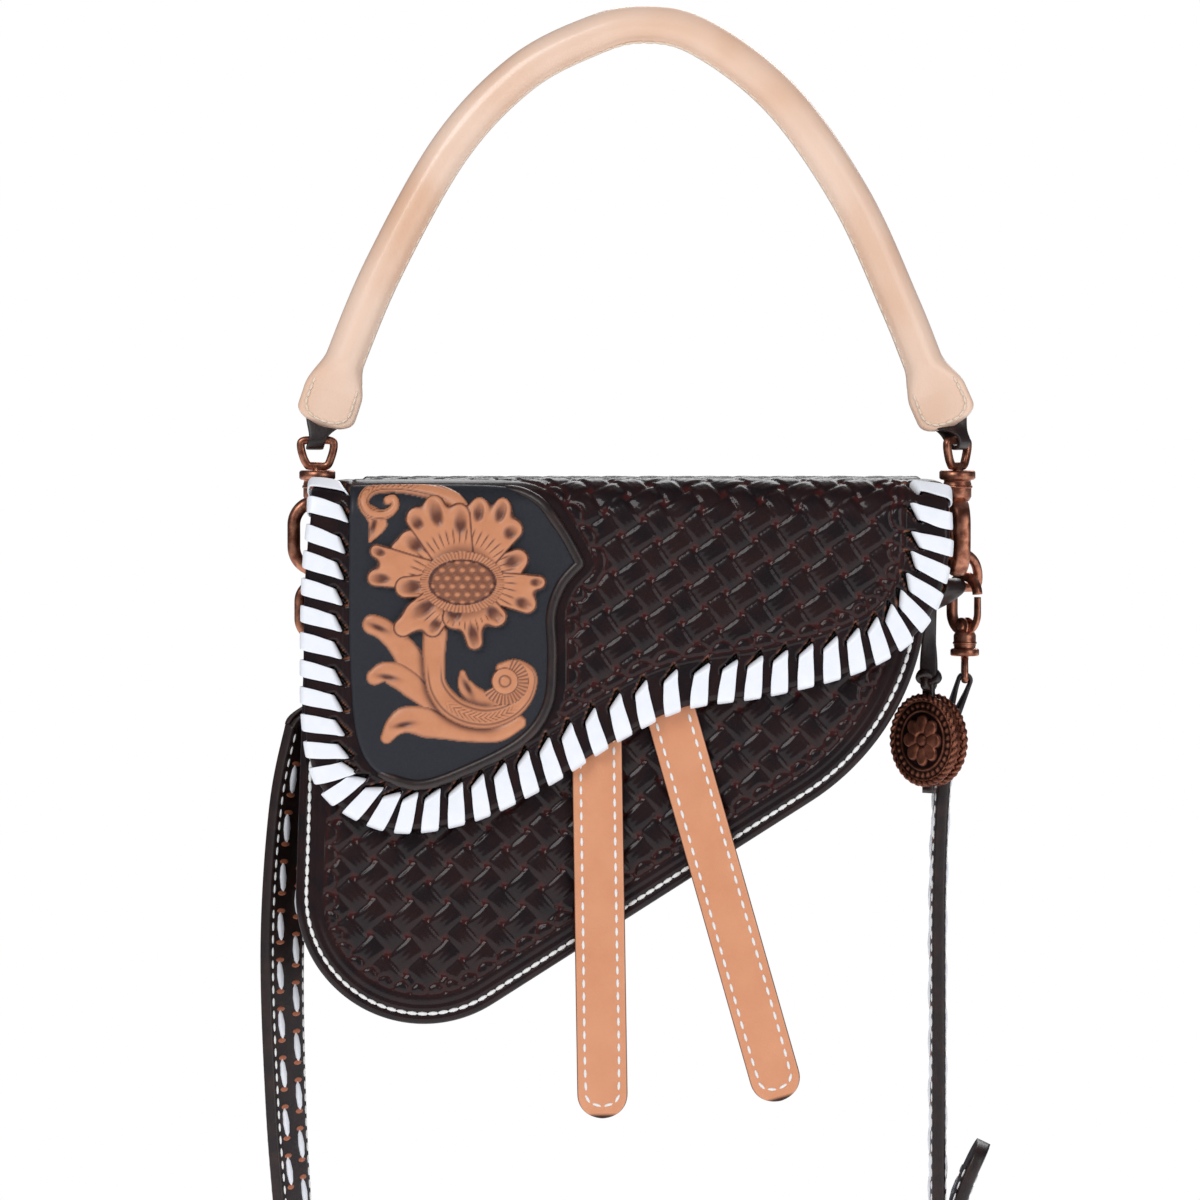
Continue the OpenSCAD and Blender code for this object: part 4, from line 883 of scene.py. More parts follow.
for title, finish, inset, t, low_y, high_y, nodes in (
        ("gusset", soft, 0, GUSSET_T, INSIDE_FRONT, INSIDE_BACK, ("gusset",)),
        ("lining", suede, GUSSET_T + 0.02, LINING_T, INSIDE_FRONT + 0.05, INSIDE_BACK - 0.05, ())):
    outer_line, inner_line = wall(inset), wall(inset + t)
    k = np.linspace(0, 1, 26)
    sag = SAG * (1 - (2 * k - 1) ** 2)
    towards = unit(inner_line - outer_line)
    from_end = np.minimum(np.arange(WALL_POINTS), np.arange(WALL_POINTS)[::-1])
    ends = smooth(from_end / 24)[:, None, None]
    y = low_y + (high_y - low_y) * k
    grid_out = outer_line[:, None] + towards[:, None] * sag[None, :, None] * ends
    grid_in = grid_out + (inner_line - outer_line)[:, None]
    face = coords(grid_out[..., 0], y, grid_out[..., 1])
    back = coords(grid_in[..., 0], y, grid_in[..., 1])
    put(title, sheet_shell(face, back), finish, "bag", nodes)

lining_loop = outline(WALL_INSET + GUSSET_T + LINING_T + 0.1, WALL_LEAN)
for y_out, y_in, where, top_z in (
        (INSIDE_FRONT + 0.02, INSIDE_FRONT + LINING_T, "front", TOP_Z - 1.5),
        (INSIDE_BACK - 0.02, INSIDE_BACK - LINING_T, "back", BACK_TOP_Z - 1.5)):
    rows = np.concatenate(
        [rows_between(lining_loop[:, 1].min() + 0.05, -180, 3.0), np.arange(-176, top_z, 4)])
    left, right = span(lining_loop, np.minimum(rows, lining_loop[:, 1].max() - 6))
    x = left[:, None] + (right - left)[:, None] * spread(60)
    z = np.repeat(rows[:, None], 60, 1)
    faces = [coords(x, y, z) for y in (y_out, y_in)]
    put(f"{where} lining", sheet_shell(*faces), suede, "bag", ("lining",) if where == "front" else ())


# Flap
# One piece of thick leather that comes over the top from the back panel, where its tail is sewn on. Its front
# is stamped like the body, with a smooth border that is punched for the lacing along the free edge.
FLAP_LEFT, FLAP_W, FLAP_DROP = 104, 198, 95.6
FLAP_T = 3.6
FLAP_FRONT = -24.4
BEND_R, BEND_LEN, TOP_LEN = 8.4, 16.8, 32.3
BEND_Z = -146.2
NECK = 87
TAIL_END = 106
# The free edge, as shares of the flap's width and its drop
EDGE_SHARES = (
    (0.011, 0), (0.003, 0.17), (0, 0.4), (0.002, 0.66), (0.02, 0.838), (0.066, 0.94), (0.148, 1),
    (0.26, 0.965), (0.374, 0.854), (0.491, 0.702), (0.59, 0.605), (0.72, 0.561), (0.849, 0.492),
    (0.93, 0.405), (0.978, 0.285), (1, 0.12), (1, 0))
flap_edge = curve(np.array(EDGE_SHARES), 16) * (FLAP_W, -FLAP_DROP) - (FLAP_LEFT, 0)
LACE_UP = 0.6 * BEND_LEN
NECK_END = 1.3 * BEND_LEN


def side_x(start, side, up):
    """The side of the flap at a height up the bend: start, then drawn in to the neck as an S."""
    return start + (side * NECK - start) * smooth((up - LACE_UP) / (NECK_END - LACE_UP))


TAIL_R = 10
up = np.linspace(LACE_UP, NECK_END, 14)
right_neck = coords(side_x(flap_edge[-1, 0], 1, up), up)
left_neck = coords(side_x(flap_edge[0, 0], -1, up), up)[::-1]
corner = np.linspace(0, math.pi / 2, 10)
tail_right = coords(NECK - TAIL_R + TAIL_R * np.cos(corner), TAIL_END - TAIL_R + TAIL_R * np.sin(corner))
flap_loop = np.vstack(
    [flap_edge, right_neck, tail_right, (tail_right * (-1, 1))[::-1], left_neck, flap_edge[:1]])
flap_loop = evenly(flap_loop, 480)


def bent(u, v, h):
    """From the unrolled flap (u across, v up, h out of the inner face) to space: down the front, round a
    quarter bend, across the top, round a second bend and down the back."""
    front_turn = np.clip(v / BEND_LEN, 0, 1) * np.pi / 2
    past = np.clip(v - BEND_LEN, 0, TOP_LEN)
    back_turn = np.clip((v - BEND_LEN - TOP_LEN) / BEND_LEN, 0, 1) * np.pi / 2
    down = np.clip(v - 2 * BEND_LEN - TOP_LEN, 0, None)
    y = FLAP_FRONT + BEND_R + past - (BEND_R + h) * np.cos(front_turn) + (BEND_R + h) * np.sin(back_turn)
    z = (BEND_Z + np.minimum(v, 0) + (BEND_R + h) * np.sin(front_turn)
         - (BEND_R + h) * (1 - np.cos(back_turn)) - down)
    return coords(u, y, z)


def way_out(u, v):
    """The way straight out of the flap's face."""
    return unit(bent(u, v, FLAP_T + 1) - bent(u, v, FLAP_T))


SPARE = 9
laced = np.vstack([[[flap_edge[0, 0], LACE_UP + SPARE]], flap_edge, [[flap_edge[-1, 0], LACE_UP + SPARE]]])
laced = evenly(laced, 420)
laced_s = run(laced)
LACE_PITCH = 8.3
lace_turns = int((laced_s[-1] - 2 * SPARE) // LACE_PITCH)
turn_len = (laced_s[-1] - 2 * SPARE) / lace_turns
HOLE_IN = 10.3
SLIT_SLANT = 0.5


def edge_at(s):
    """The place, the direction and the way inwards at a length along the laced edge."""
    place = read_at(laced, laced_s, s)
    ahead = unit(read_at(laced, laced_s, s + 0.6) - read_at(laced, laced_s, s - 0.6))
    return place, ahead, coords(-ahead[..., 1], ahead[..., 0])


hole_s = SPARE + np.arange(lace_turns + 1) * turn_len
hole_place, hole_ahead, hole_in = edge_at(hole_s)
hole_at = hole_place + HOLE_IN * hole_in

CARVED_X, CARVED_TOP, CARVED_W, CARVED_H = -89.7, -135.8, 70.5, 92
# The outline of the carved panel, as shares of its width and height from its upper left corner
CARVED_SHARES = (
    (0, 0), (0.34, -0.005), (0.67, 0.005), (0.82, 0.06), (0.92, 0.15), (1, 0.26), (0.92, 0.33), (0.875, 0.43),
    (0.88, 0.57), (0.86, 0.73), (0.75, 0.85), (0.52, 0.945), (0.3, 1), (0.12, 0.96), (0.03, 0.84), (0, 0.6),
    (-0.005, 0.3), (0, 0))


def carved_line(first, last):
    """A smooth part of the outline, between two of its points."""
    return curve(CARVED_SHARES[first:last], 12) * (CARVED_W, -CARVED_H) + (CARVED_X, CARVED_TOP - BEND_Z)


carved_loop = evenly(np.vstack([carved_line(0, 6)[:-1], carved_line(5, 18)]), 300)


def inside_of(points, loop):
    """1 for points inside a closed loop, by counting the loop's crossings to the right of each."""
    (x0, y0), (x1, y1) = loop[:-1].T, loop[1:].T
    flat = points.reshape(-1, 2)
    count = np.zeros(len(flat), int)
    for a, b, c, d in zip(x0, y0, x1, y1):
        crossing = (b > flat[:, 1]) != (d > flat[:, 1])
        at = a + (flat[:, 1] - b) * (c - a) / (d - b if d != b else 1e-9)
        count += crossing & (flat[:, 0] < at)
    return (count % 2).reshape(points.shape[:-1])


FLAP_STEP = 0.58
flap_rows = np.concatenate([
    3 * np.linspace(0.01, 1, 12) ** 2 - FLAP_DROP, np.arange(3.6 - FLAP_DROP, 17, FLAP_STEP),
    np.arange(17, 66, 1.2), np.arange(66, TAIL_END - 1, 2.0), [TAIL_END - 0.4, TAIL_END - 0.02]])
u, v, far, _ = cut_sheet(flap_loop, flap_rows, FLAP_STEP)
uv = coords(u, v)
laced_far, laced_at = from_edge(uv, laced)
on_laced = v < LACE_UP + 4.5
carved_far, carved_at = from_edge(uv, carved_loop)
under_panel = inside_of(uv, carved_loop)
FLAP_BORDER, PANEL_BORDER, FLAP_CREASE = 14.5, 5, 12.6
STAMPED_TO, BORDER_TO = 54, 60
field = smooth((laced_far - FLAP_BORDER - 1.0) / 0.8) * (1 - under_panel)
field *= smooth((carved_far - PANEL_BORDER - 0.6) / 0.8)
arc_low, seed_low = border(laced_far, laced_at, FLAP_BORDER)
arc_side, seed_side = border(carved_far, carved_at, PANEL_BORDER)
right_of_panel = (u > CARVED_X + CARVED_W * 0.5) * (1 - under_panel)
low_part = right_of_panel * (carved_far > PANEL_BORDER - 1) * smooth((BORDER_TO - v) / 6)
side_part = right_of_panel * (laced_far > FLAP_BORDER + 3.5) * (v < BORDER_TO)
arc_low, seed_low = arc_low * low_part, seed_low * low_part
arc_side, seed_side = arc_side * side_part, seed_side * side_part
stamped = smooth(9 * np.maximum(seed_low, seed_side))
field *= (1 - np.clip(np.maximum(arc_low + arc_side, stamped), 0, 1)) * smooth((STAMPED_TO - v) / 6)
weave = basket(u, v, slant=35) * field
nearest = np.clip(np.round((laced_at - SPARE) / turn_len).astype(int), 0, len(hole_at) - 1)
offset = uv - hole_at[nearest]
hole_a = (offset * hole_ahead[nearest]).sum(-1)
hole_b = (offset * hole_in[nearest]).sum(-1)
slit_b = hole_b - SLIT_SLANT * hole_a
# notch: a dent at each lacing hole. It also carries the hole's painted shadow, drawn near black on the tooled
# leather.
notch = smooth((slit_b + 1.2) / 0.5) * smooth((1.7 + 0.3 * hole_a - slit_b) / 0.5)
notch *= smooth((3.0 - np.abs(hole_a)) / 0.5) * on_laced
raw = np.clip(notch * (1 - notch) * 4, 0, 1) * smooth((slit_b - 0.6) / 0.6) * on_laced
relief = (WEAVE_RISE * weave - GROUND_DOWN * field - 0.6 * np.maximum(arc_low, arc_side) - 0.1 * stamped
          + 0.35 * np.maximum(seed_low, seed_side) - 0.4 * bell(laced_far, 0.4, FLAP_CREASE) - 2.6 * notch)
drop = round_edge(far, FLAP_T / 2, EDGE_REACH)
deep = np.clip(smooth((0.42 - weave) / 0.3) * field + 0.7 * (arc_low + arc_side), 0, 1)
shell, marks = leather(
    bent(u, v, FLAP_T + relief - drop), bent(u, v, drop), 22, deep=deep, raw=raw, hole=notch)
flap = put("flap", shell, tooled, None, (), marks, True)
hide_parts("flap_leather", "flap_lining", "flap_tail")
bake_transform(flap)

TAIL_SEAM = ((NECK - 3, 74), (NECK - 3, TAIL_END - TAIL_R), (NECK - TAIL_R, TAIL_END - 3))
tail_seam = evenly(np.vstack([np.array(TAIL_SEAM) * (-1, 1), TAIL_SEAM[::-1]]), 58).T
sew("stitches of the tail", bent(*tail_seam, FLAP_T), way_out(*tail_seam), (3.3, 1.2, 0.45),
    white_thread, "bag")


# Whip lacing
# Flat white leather lace, one long piece that goes through each punched hole from the front, round the
# edge and back to the next hole, so that every turn lies slanted over the edge.
lace = Finish("white lace", "white_lace", 0.42, Coat_Weight=0.25, Coat_Roughness=0.25)
lace.set("Base Color", lace.mix(lace.noise(4.0, 3.0), colour(232, 235, 242), colour(246, 247, 250)))
lace.bump(lace.noise(0.9, 3.0), 0.05)
LACE_W, LACE_T = 5.4, 0.75
# One wrap: how far in from the edge, height out of the inner face, and its shares of pitch and width
LACE_ROWS = (
    (10.5, FLAP_T - 2.1, 0.06, 1), (10.25, FLAP_T - 0.9, 0.05, 1), (9.6, FLAP_T + 0.1, 0.03, 1),
    (8.4, FLAP_T + 0.5, -0.02, 1), (5.2, FLAP_T + 0.62, -0.12, 1), (2.2, FLAP_T + 0.55, -0.21, 1),
    (0.2, FLAP_T + 0.25, -0.27, 1), (-0.6, FLAP_T - 0.7, -0.3, 0.98), (-0.8, FLAP_T / 2, -0.3, 0.96),
    (-0.65, 0.7, -0.3, 0.98), (0.2, -0.35, -0.28, 1), (2.6, -0.6, -0.1, 1), (5.8, -0.6, 0.25, 0.95),
    (8.6, -0.45, 0.7, 0.8), (10.2, 0.4, 0.95, 0.6))
lace_path = curve(LACE_ROWS, 3)
lace_in, lace_up, lace_ahead, lace_share = lace_path.T
slant_share = SLIT_SLANT * smooth((lace_in - 2) / 7) * (lace_up > FLAP_T / 2 - 1)
wraps = []
for number, s in enumerate(hole_s):
    place, ahead, inward = edge_at(s + lace_ahead * turn_len)
    flat_way = place + lace_in[:, None] * inward
    line, beside, inside = (bent(*(flat_way + 0.4 * way).T, lace_up) for way in (0, ahead, inward))
    thick_way = unit(np.cross(turned(line), beside - line))
    wide = unit(np.cross(thick_way, turned(line)))
    size = coords(lace_share * LACE_W / 2 * (0.97 + 0.03 * math.sin(number * 2.4)), LACE_T / 2)
    lens = oval(20, 5) * size[:, None]
    sheared = unit(inside - line)[:, None] * (lens[..., :1] * slant_share[:, None, None])
    wraps.append(tube(carry(line, wide, thick_way, lens) + sheared))
put("flap lacing", together(wraps), lace, "flap", ("flap_lacing",))


# Carved panel
# A black-dyed inlay with a raised brown edge. The sunflower, its stem, leaves and scrolls are cut in and
# bevelled down round their outlines, left tan and rubbed with dark antique paste in the cuts.
carved = Finish("carved leather", "carved_leather", Coat_Weight=0.2, Coat_Roughness=0.3)
tan = carved.mix(carved.noise(6.0, 3.0), colour(214, 146, 106), colour(188, 118, 80))
tan = carved.mix(carved.mark("shade"), tan, colour(88, 44, 30))
black = carved.mix(carved.noise(1.0, 4.0), colour(20, 23, 31), colour(32, 36, 46))
carved.set("Base Color", carved.mix(carved.mark("tan"), black, tan))
carved.set("Roughness", 0.62 - 0.2 * carved.mark("tan"))
carved.bump(carved.noise(0.7, 4.0), 0.12)

PANEL_H = FLAP_T + 0.8
CARVED_STEP = 0.33
low, high = carved_loop[:, 1].min(), carved_loop[:, 1].max()
rows = np.concatenate([low + 3 * np.linspace(0.02, 1, 12) ** 2, np.arange(low + 3.3, high - 1.2, CARVED_STEP),
                       high - np.array([0.9, 0.6, 0.35, 0.12])])
u, v, far, _ = cut_sheet(carved_loop, rows, CARVED_STEP, 1.6)
uv = coords(u, v)


def pixel(points):
    """Places read in the photo's pixels, in the unrolled flap's millimetres."""
    p = np.asarray(points, float)
    return coords((p[..., 0] - HANG_PIXEL[0]) * MM_PER_PIXEL,
                  (HANG_PIXEL[1] - p[..., 1]) * MM_PER_PIXEL - BEND_Z)


shape_h, shape_tan, shape_shade = np.zeros((3, *u.shape))
BEVEL = 0.5


def within(distance, bevel=BEVEL):
    """1 inside an outline and 0 outside, an S across the bevel, from the distance inside the outline."""
    return smooth(distance / bevel + 0.5)


def add_shape(height, mask, shade):
    """Lays one carved form over the others, and darkens what is tan already along its bevelled rim."""
    global shape_h, shape_tan, shape_shade
    over = mask > 0.5
    shape_h = np.where(over, height, shape_h)
    shape_shade = np.where(over, shade, np.maximum(shape_shade, 0.9 * smooth(mask / 0.5) * (shape_tan > 0.5)))
    shape_tan = np.maximum(shape_tan, smooth((mask - 0.3) / 0.4))


def along_spine(points, widths):
    """A scroll's spine through pixels, and for each point its distance, place along and half width."""
    spine = evenly(curve(pixel(points), 10), 90)
    gap, s = from_edge(uv, spine)
    share = s / run(spine)[-1]
    return gap, s, share, np.interp(share, np.linspace(0, 1, len(widths)), np.asarray(widths) * MM_PER_PIXEL)


CHEVRON_PITCH = 1.7
HOLLOW_LEN, HOLLOW_W = 3, 0.85


def frond(points, widths, rise, hollow_at=None, cuts=False, dark=0):
    """A leaf or scroll along a spine: half width w along it, height rise (1.05 - q^2)^0.5 with q the
    distance over w; a stem has two rails and slanted fine cuts between them, a leaf a dark hollow at
    (x, y, tilt)."""
    gap, s, share, w = along_spine(points, widths)
    q = gap / np.maximum(w, 0.05)
    rails = bell(q, 0.09, 0.62) * smooth((share - 0.12) / 0.1) * smooth((0.93 - share) / 0.1) * cuts
    lines = bell((s - gap * 1.6) / CHEVRON_PITCH % 1, 0.16, 0.5) * smooth((0.5 - q) / 0.15) * cuts
    lines *= smooth((share - 0.3) / 0.1) * smooth((0.7 - share) / 0.08)
    height = rise * np.sqrt(np.clip(1.05 - np.clip(q, 0, 1) ** 2, 0, 1)) - 0.35 * rails - 0.3 * lines
    shade = 0.8 * np.maximum(rails, lines) + 0.5 * smooth((q - 0.74) / 0.26) + dark
    if hollow_at:
        away = uv - pixel(hollow_at[:2])
        way = np.array([math.cos(math.radians(hollow_at[2])), math.sin(math.radians(hollow_at[2]))])
        hollow = bell(away @ way, HOLLOW_LEN) * bell(away @ (-way[1], way[0]), HOLLOW_W)
        height, shade = height - 0.8 * hollow, shade + 1.2 * hollow
    add_shape(height, within(w - gap), np.clip(shade, 0, 1))


STEM = ((437, 630), (436, 655), (439, 683), (456, 704), (484, 713), (510, 707), (527, 691), (531, 671),
        (517, 661), (502, 664))
STEM_WIDTHS = (12, 11, 10, 12, 12, 11, 9, 7, 6, 5)
SCROLL = ((472, 512), (452, 498), (425, 490), (396, 487), (375, 490), (366, 501), (372, 511), (387, 513),
          (397, 507), (396, 500), (390, 501))
SCROLL_WIDTHS = (3, 7, 8, 8, 7, 6.5, 6, 5.5, 4.5, 4, 4)
# The leaves round the stem: spine and half widths in photo pixels, rise, and the place and tilt of the hollow
LEAVES = (
    (((428, 690), (417, 664), (401, 640), (386, 626), (375, 621)), (7, 16, 13, 11, 10), 1.1, (381, 624, -24)),
    (((447, 711), (428, 694), (405, 675), (388, 668), (377, 673)), (6, 9, 12, 12, 8), 1.15, (390, 673, -10)),
    (((520, 718), (500, 729), (472, 729), (439, 721), (412, 715), (398, 721), (389, 733)),
     (7, 8, 8, 11, 15, 13, 6), 1.2, (406, 720, 10)),
    (((464, 669), (466, 680), (476, 692), (492, 699), (505, 701)), (3, 8, 10, 9, 5), 1.15, (469, 683, -60)))
stem_gap, _, stem_share, stem_w = along_spine(STEM, STEM_WIDTHS)
by_stem = 0.9 * bell(np.maximum(stem_gap - stem_w, 0), 1.3) * smooth((0.62 - stem_share) / 0.1)
frond(((369, 508), (380, 520), (373, 538)), (5, 10, 2), 1.0, (376, 523, 75))
frond(SCROLL, SCROLL_WIDTHS, 1.25, cuts=True)
for leaf in LEAVES:
    frond(*leaf, dark=by_stem)
frond(STEM, STEM_WIDTHS, 1.35, cuts=True)

# The scroll's end: a round ball with a ring cut in it, and a fan of fine rays along its outer side
FAN_R, BALL_R, RING_R = 7.2, 4.1, 1.7
ball = uv - pixel((506, 677))
ball_r = np.linalg.norm(ball, axis=-1)
ball_turn = np.arctan2(ball[..., 1], ball[..., 0])
fan = 0.5 + 0.5 * np.cos(ball_turn * 34)
fan_part = smooth((0.5 + np.cos(ball_turn + 0.7)) / 0.3)
add_shape(0.95 + 0.3 * fan * fan_part, within(FAN_R - ball_r) * (fan_part > 0.3), 0.8 * (1 - fan))
ball_ring = bell(ball_r, 0.3, RING_R)
add_shape(1.0 + 0.75 * np.sqrt(np.clip(1 - (ball_r / (BALL_R + 0.3)) ** 2, 0, 1)) - 0.4 * ball_ring,
          within(BALL_R - ball_r), np.clip(0.8 * ball_ring + smooth((ball_r - BALL_R + 0.4) / 0.4), 0, 1))

HEART = pixel((464, 579))
SEED = np.array([10.4, 7.0])
PETAL_LEN = 23
# Each petal is a group of round lobes: photo pixel, radius, and half length of the hollow in it
PETALS = (
    ((413, 538, 12, 8), (401, 548, 9, 0)), ((519, 556, 11, 8), (512, 568, 10, 0)),
    ((481, 508, 9, 6), (504, 508, 9, 7), (514, 527, 11, 6), (470, 516, 8, 0)),
    ((417, 517, 10, 6), (436, 508, 11, 9), (462, 515, 11, 9), (450, 524, 10, 0)),
    ((540, 579, 7, 5), (528, 601, 10, 7), (521, 585, 10, 0)),
    ((379, 548, 7, 5), (378, 575, 9, 8), (394, 562, 10, 0)),
    ((408, 584, 12, 9),), ((405, 624, 10, 0), (420, 609, 12, 11), (435, 625, 9, 6)),
    ((455, 614, 12, 9), (476, 638, 9, 10), (498, 613, 11, 7), (476, 612, 11, 0)))
WEB = 1.5
VEINS = 46
offset = uv - HEART
radial = np.linalg.norm(offset, axis=-1)
share = radial / PETAL_LEN
turn = np.arctan2(offset[..., 1], offset[..., 0]) / (2 * np.pi)
vein_off = np.abs((turn * VEINS + radial / 24) % 1 - 0.5)
veins = bell(vein_off / (0.07 + 0.3 * np.clip(share - 0.5, 0, 0.3)), 1)
veins *= smooth((share - 0.5) / 0.06) * smooth((0.76 - share) / 0.1)
for number, lobes in enumerate(PETALS):
    edges, hollow, depth = [], np.zeros(u.shape), np.zeros(u.shape)
    for x, y, size, pit in lobes:
        tip, size, pit = pixel((x, y)), size * MM_PER_PIXEL, pit * MM_PER_PIXEL
        reach = np.linalg.norm(tip - HEART)
        way = (tip - HEART) / reach
        ahead, aside = offset @ way, offset @ (-way[1], way[0])
        t = np.clip(ahead / reach, 0.2, 1)
        edges.append(np.hypot(ahead - t * reach, aside) - size * (1.02 - 0.12 * t))
        if pit:
            near = smooth(
                (1 - np.hypot((ahead - reach + 0.6 * pit) / (1.6 * pit), aside / (0.74 * size))) / 0.6)
            hollow = np.maximum(hollow, near)
            depth = np.maximum(depth, near * (0.5 + 0.5 * smooth((reach - ahead + 0.3 * pit) / (1.2 * pit))))
    # the lobes' outlines joined by a web: the logarithm of the sum of their exponentials
    inside = WEB * np.log(np.exp(-np.stack(edges).clip(-40, 40) / WEB).sum(0))
    cuts = veins * (1 - hollow) * smooth((inside - 0.7) / 0.6)
    height = (0.8 + 0.09 * number + 0.7 * smooth((share - 0.4) / 0.35) + 0.3 * smooth(inside / 1.4)
              - 0.75 * hollow - 0.4 * cuts)
    shade = 0.95 * cuts + 0.95 * depth + 0.55 * smooth((0.56 - share) / 0.14) + smooth((0.65 - inside) / 0.5)
    add_shape(height, within(inside, 0.6) * smooth(radial - 4), np.clip(shade, 0, 1))

# The heart: a ring of fine fringe, and in it an oval of round seeds in staggered rows
FRINGE_W = 2.4
SEED_PITCH = np.array([3.1, 2.5])
fringe_r = np.linalg.norm(offset / (SEED + FRINGE_W), axis=-1)
seed_xy = offset / SEED
fringe = np.abs(np.sin(np.arctan2(seed_xy[..., 1], seed_xy[..., 0]) * 34))
add_shape(1.55 + 0.3 * fringe, within((1 - fringe_r) * 12), 0.75 - 0.75 * fringe)
seed_r = np.linalg.norm(seed_xy, axis=-1)
seed_u, seed_v = np.moveaxis(offset / SEED_PITCH, -1, 0)
seed_u = seed_u + 0.5 * (np.floor(seed_v) % 2)
grain = smooth((0.46 - np.hypot(seed_u % 1 - 0.5, seed_v % 1 - 0.5)) / 0.3)
add_shape(1.1 + 0.6 * np.sqrt(np.clip(1 - seed_r ** 2, 0, 1)) + 0.9 * grain, within((1 - seed_r) * 10),
          np.clip(0.75 - 0.6 * grain + smooth((seed_r - 0.88) / 0.1), 0, 1))

carved_face = PANEL_H - round_edge(far, 0.8, 1.4) + shape_h * shape_tan * smooth((far - 0.6) / 1.2)
shell, marks = leather(
    bent(u, v, carved_face), bent(u, v, FLAP_T - 0.3), 16, tan=shape_tan, shade=shape_shade)
put("carved panel", shell, carved, "flap", ("carved_panel", "carved_flower"), marks, True)

RIDGE_W, RIDGE_H = 3.4, 1.65
ridge_line = evenly(np.vstack([carved_line(2, 6)[:-1], carved_line(5, 14)]), 260)
s = run(ridge_line)
ends = np.sqrt(np.clip(np.minimum(s, s[-1] - s) / 6, 0.02, 1))
line = bent(*ridge_line.T, FLAP_T + 0.1)
out = way_out(*ridge_line.T)
wide = unit(np.cross(turned(line), out))
ridge = oval(18, 2.3) * coords(RIDGE_W / 2 * (0.4 + 0.6 * ends), RIDGE_H * ends)[:, None]
put("raised edge of the panel", tube(carry(line, wide, out, ridge)), dark, "flap", ("carved_ridge",))


# Stirrup straps
# Two natural leather straps with rounded ends, that hang from rivets under the flap. Each has a row of white
# stitches along both sides and a dark burnished edge.
strap_tan = Finish("stirrup leather", "natural_leather", Coat_Weight=0.25, Coat_Roughness=0.2)
strap_tan.set("Base Color", strap_tan.mix(
    strap_tan.mark("dark"),
    strap_tan.mix(strap_tan.noise(12.0, 4.0), colour(226, 158, 118), colour(206, 134, 96)),
    colour(58, 30, 22)))
strap_tan.rough(0.3, 0.2, 1.0, 3.0)
strap_tan.bump(strap_tan.noise(0.8, 4.0), 0.08)
STIRRUP_HALF, STIRRUP_T, STIRRUP_LEN = 7.75, 2.8, 143
STIRRUP_Y, RIVET_Z = -21.3, -187.84
OVER_RIVET, STIRRUP_ROUND = 8, 7.6
STIRRUP_INSET = 2.6
# The right half of the seam: across the strap, and down from the rivet
STIRRUP_SEAM = np.array([(STIRRUP_HALF - STIRRUP_INSET, 22), (STIRRUP_HALF - STIRRUP_INSET, 80),
                         (STIRRUP_HALF - STIRRUP_INSET, 131), (3.6, 136.8)])
seam = np.vstack([STIRRUP_SEAM * (-1, 1), [(0, 139.6)], STIRRUP_SEAM[::-1]])
seam = evenly(curve(seam, 12), 62)
d = np.concatenate([[-OVER_RIVET, -7.8, -7.2, -6], np.linspace(-4, 132, 60),
                    STIRRUP_LEN - 11 * np.linspace(0.97, 0, 16) ** 2])
to_tip = STIRRUP_LEN - d
half = (STIRRUP_HALF * round_end(to_tip, STIRRUP_ROUND, 2.2, 0.003)
        * np.sqrt(np.clip((d + OVER_RIVET) / 2, 0.3, 1)))
flat = oval(40, 7)
body = flat * coords(half, STIRRUP_T / 2)[:, None]
stirrup_y = STIRRUP_Y - 1.8 * smooth((d - 24) / 30) - 0.9 * np.sin(np.clip((d - 60) / 80, 0, 1) * np.pi)
tip_burnish = smooth((0.2 - to_tip / STIRRUP_ROUND) / 0.1)
burnished = np.maximum(smooth((np.abs(flat[:, 0]) - 0.955) / 0.03), tip_burnish[:, None])
for title, x, tilt in (("left", -14.4, 0.9), ("right", 3.6, 15.9)):
    tilt = math.radians(tilt)
    down = np.array([math.sin(tilt), 0, -math.cos(tilt)])
    across = np.array([math.cos(tilt), 0, math.sin(tilt)])
    rivet = np.array([x, 0, RIVET_Z])
    middle = rivet + d[:, None] * down
    middle[:, 1] = stirrup_y
    ring = carry(middle, every(across, len(d)), every((0, 1, 0), len(d)), body)
    put(f"{title} stirrup strap", tube(ring), strap_tan, f"stirrup_{title}", (f"stirrup_strap_{title}",),
        {"dark": burnished})
    row = rivet + seam[:, 1:] * down + seam[:, :1] * across
    row[:, 1] = np.interp(seam[:, 1], d, stirrup_y) - STIRRUP_T / 2
    sew(f"{title} stirrup stitches", row, every((0, -1, 0), len(row)), (2.7, 0.95, 0.4), white_thread,
        f"stirrup_{title}")


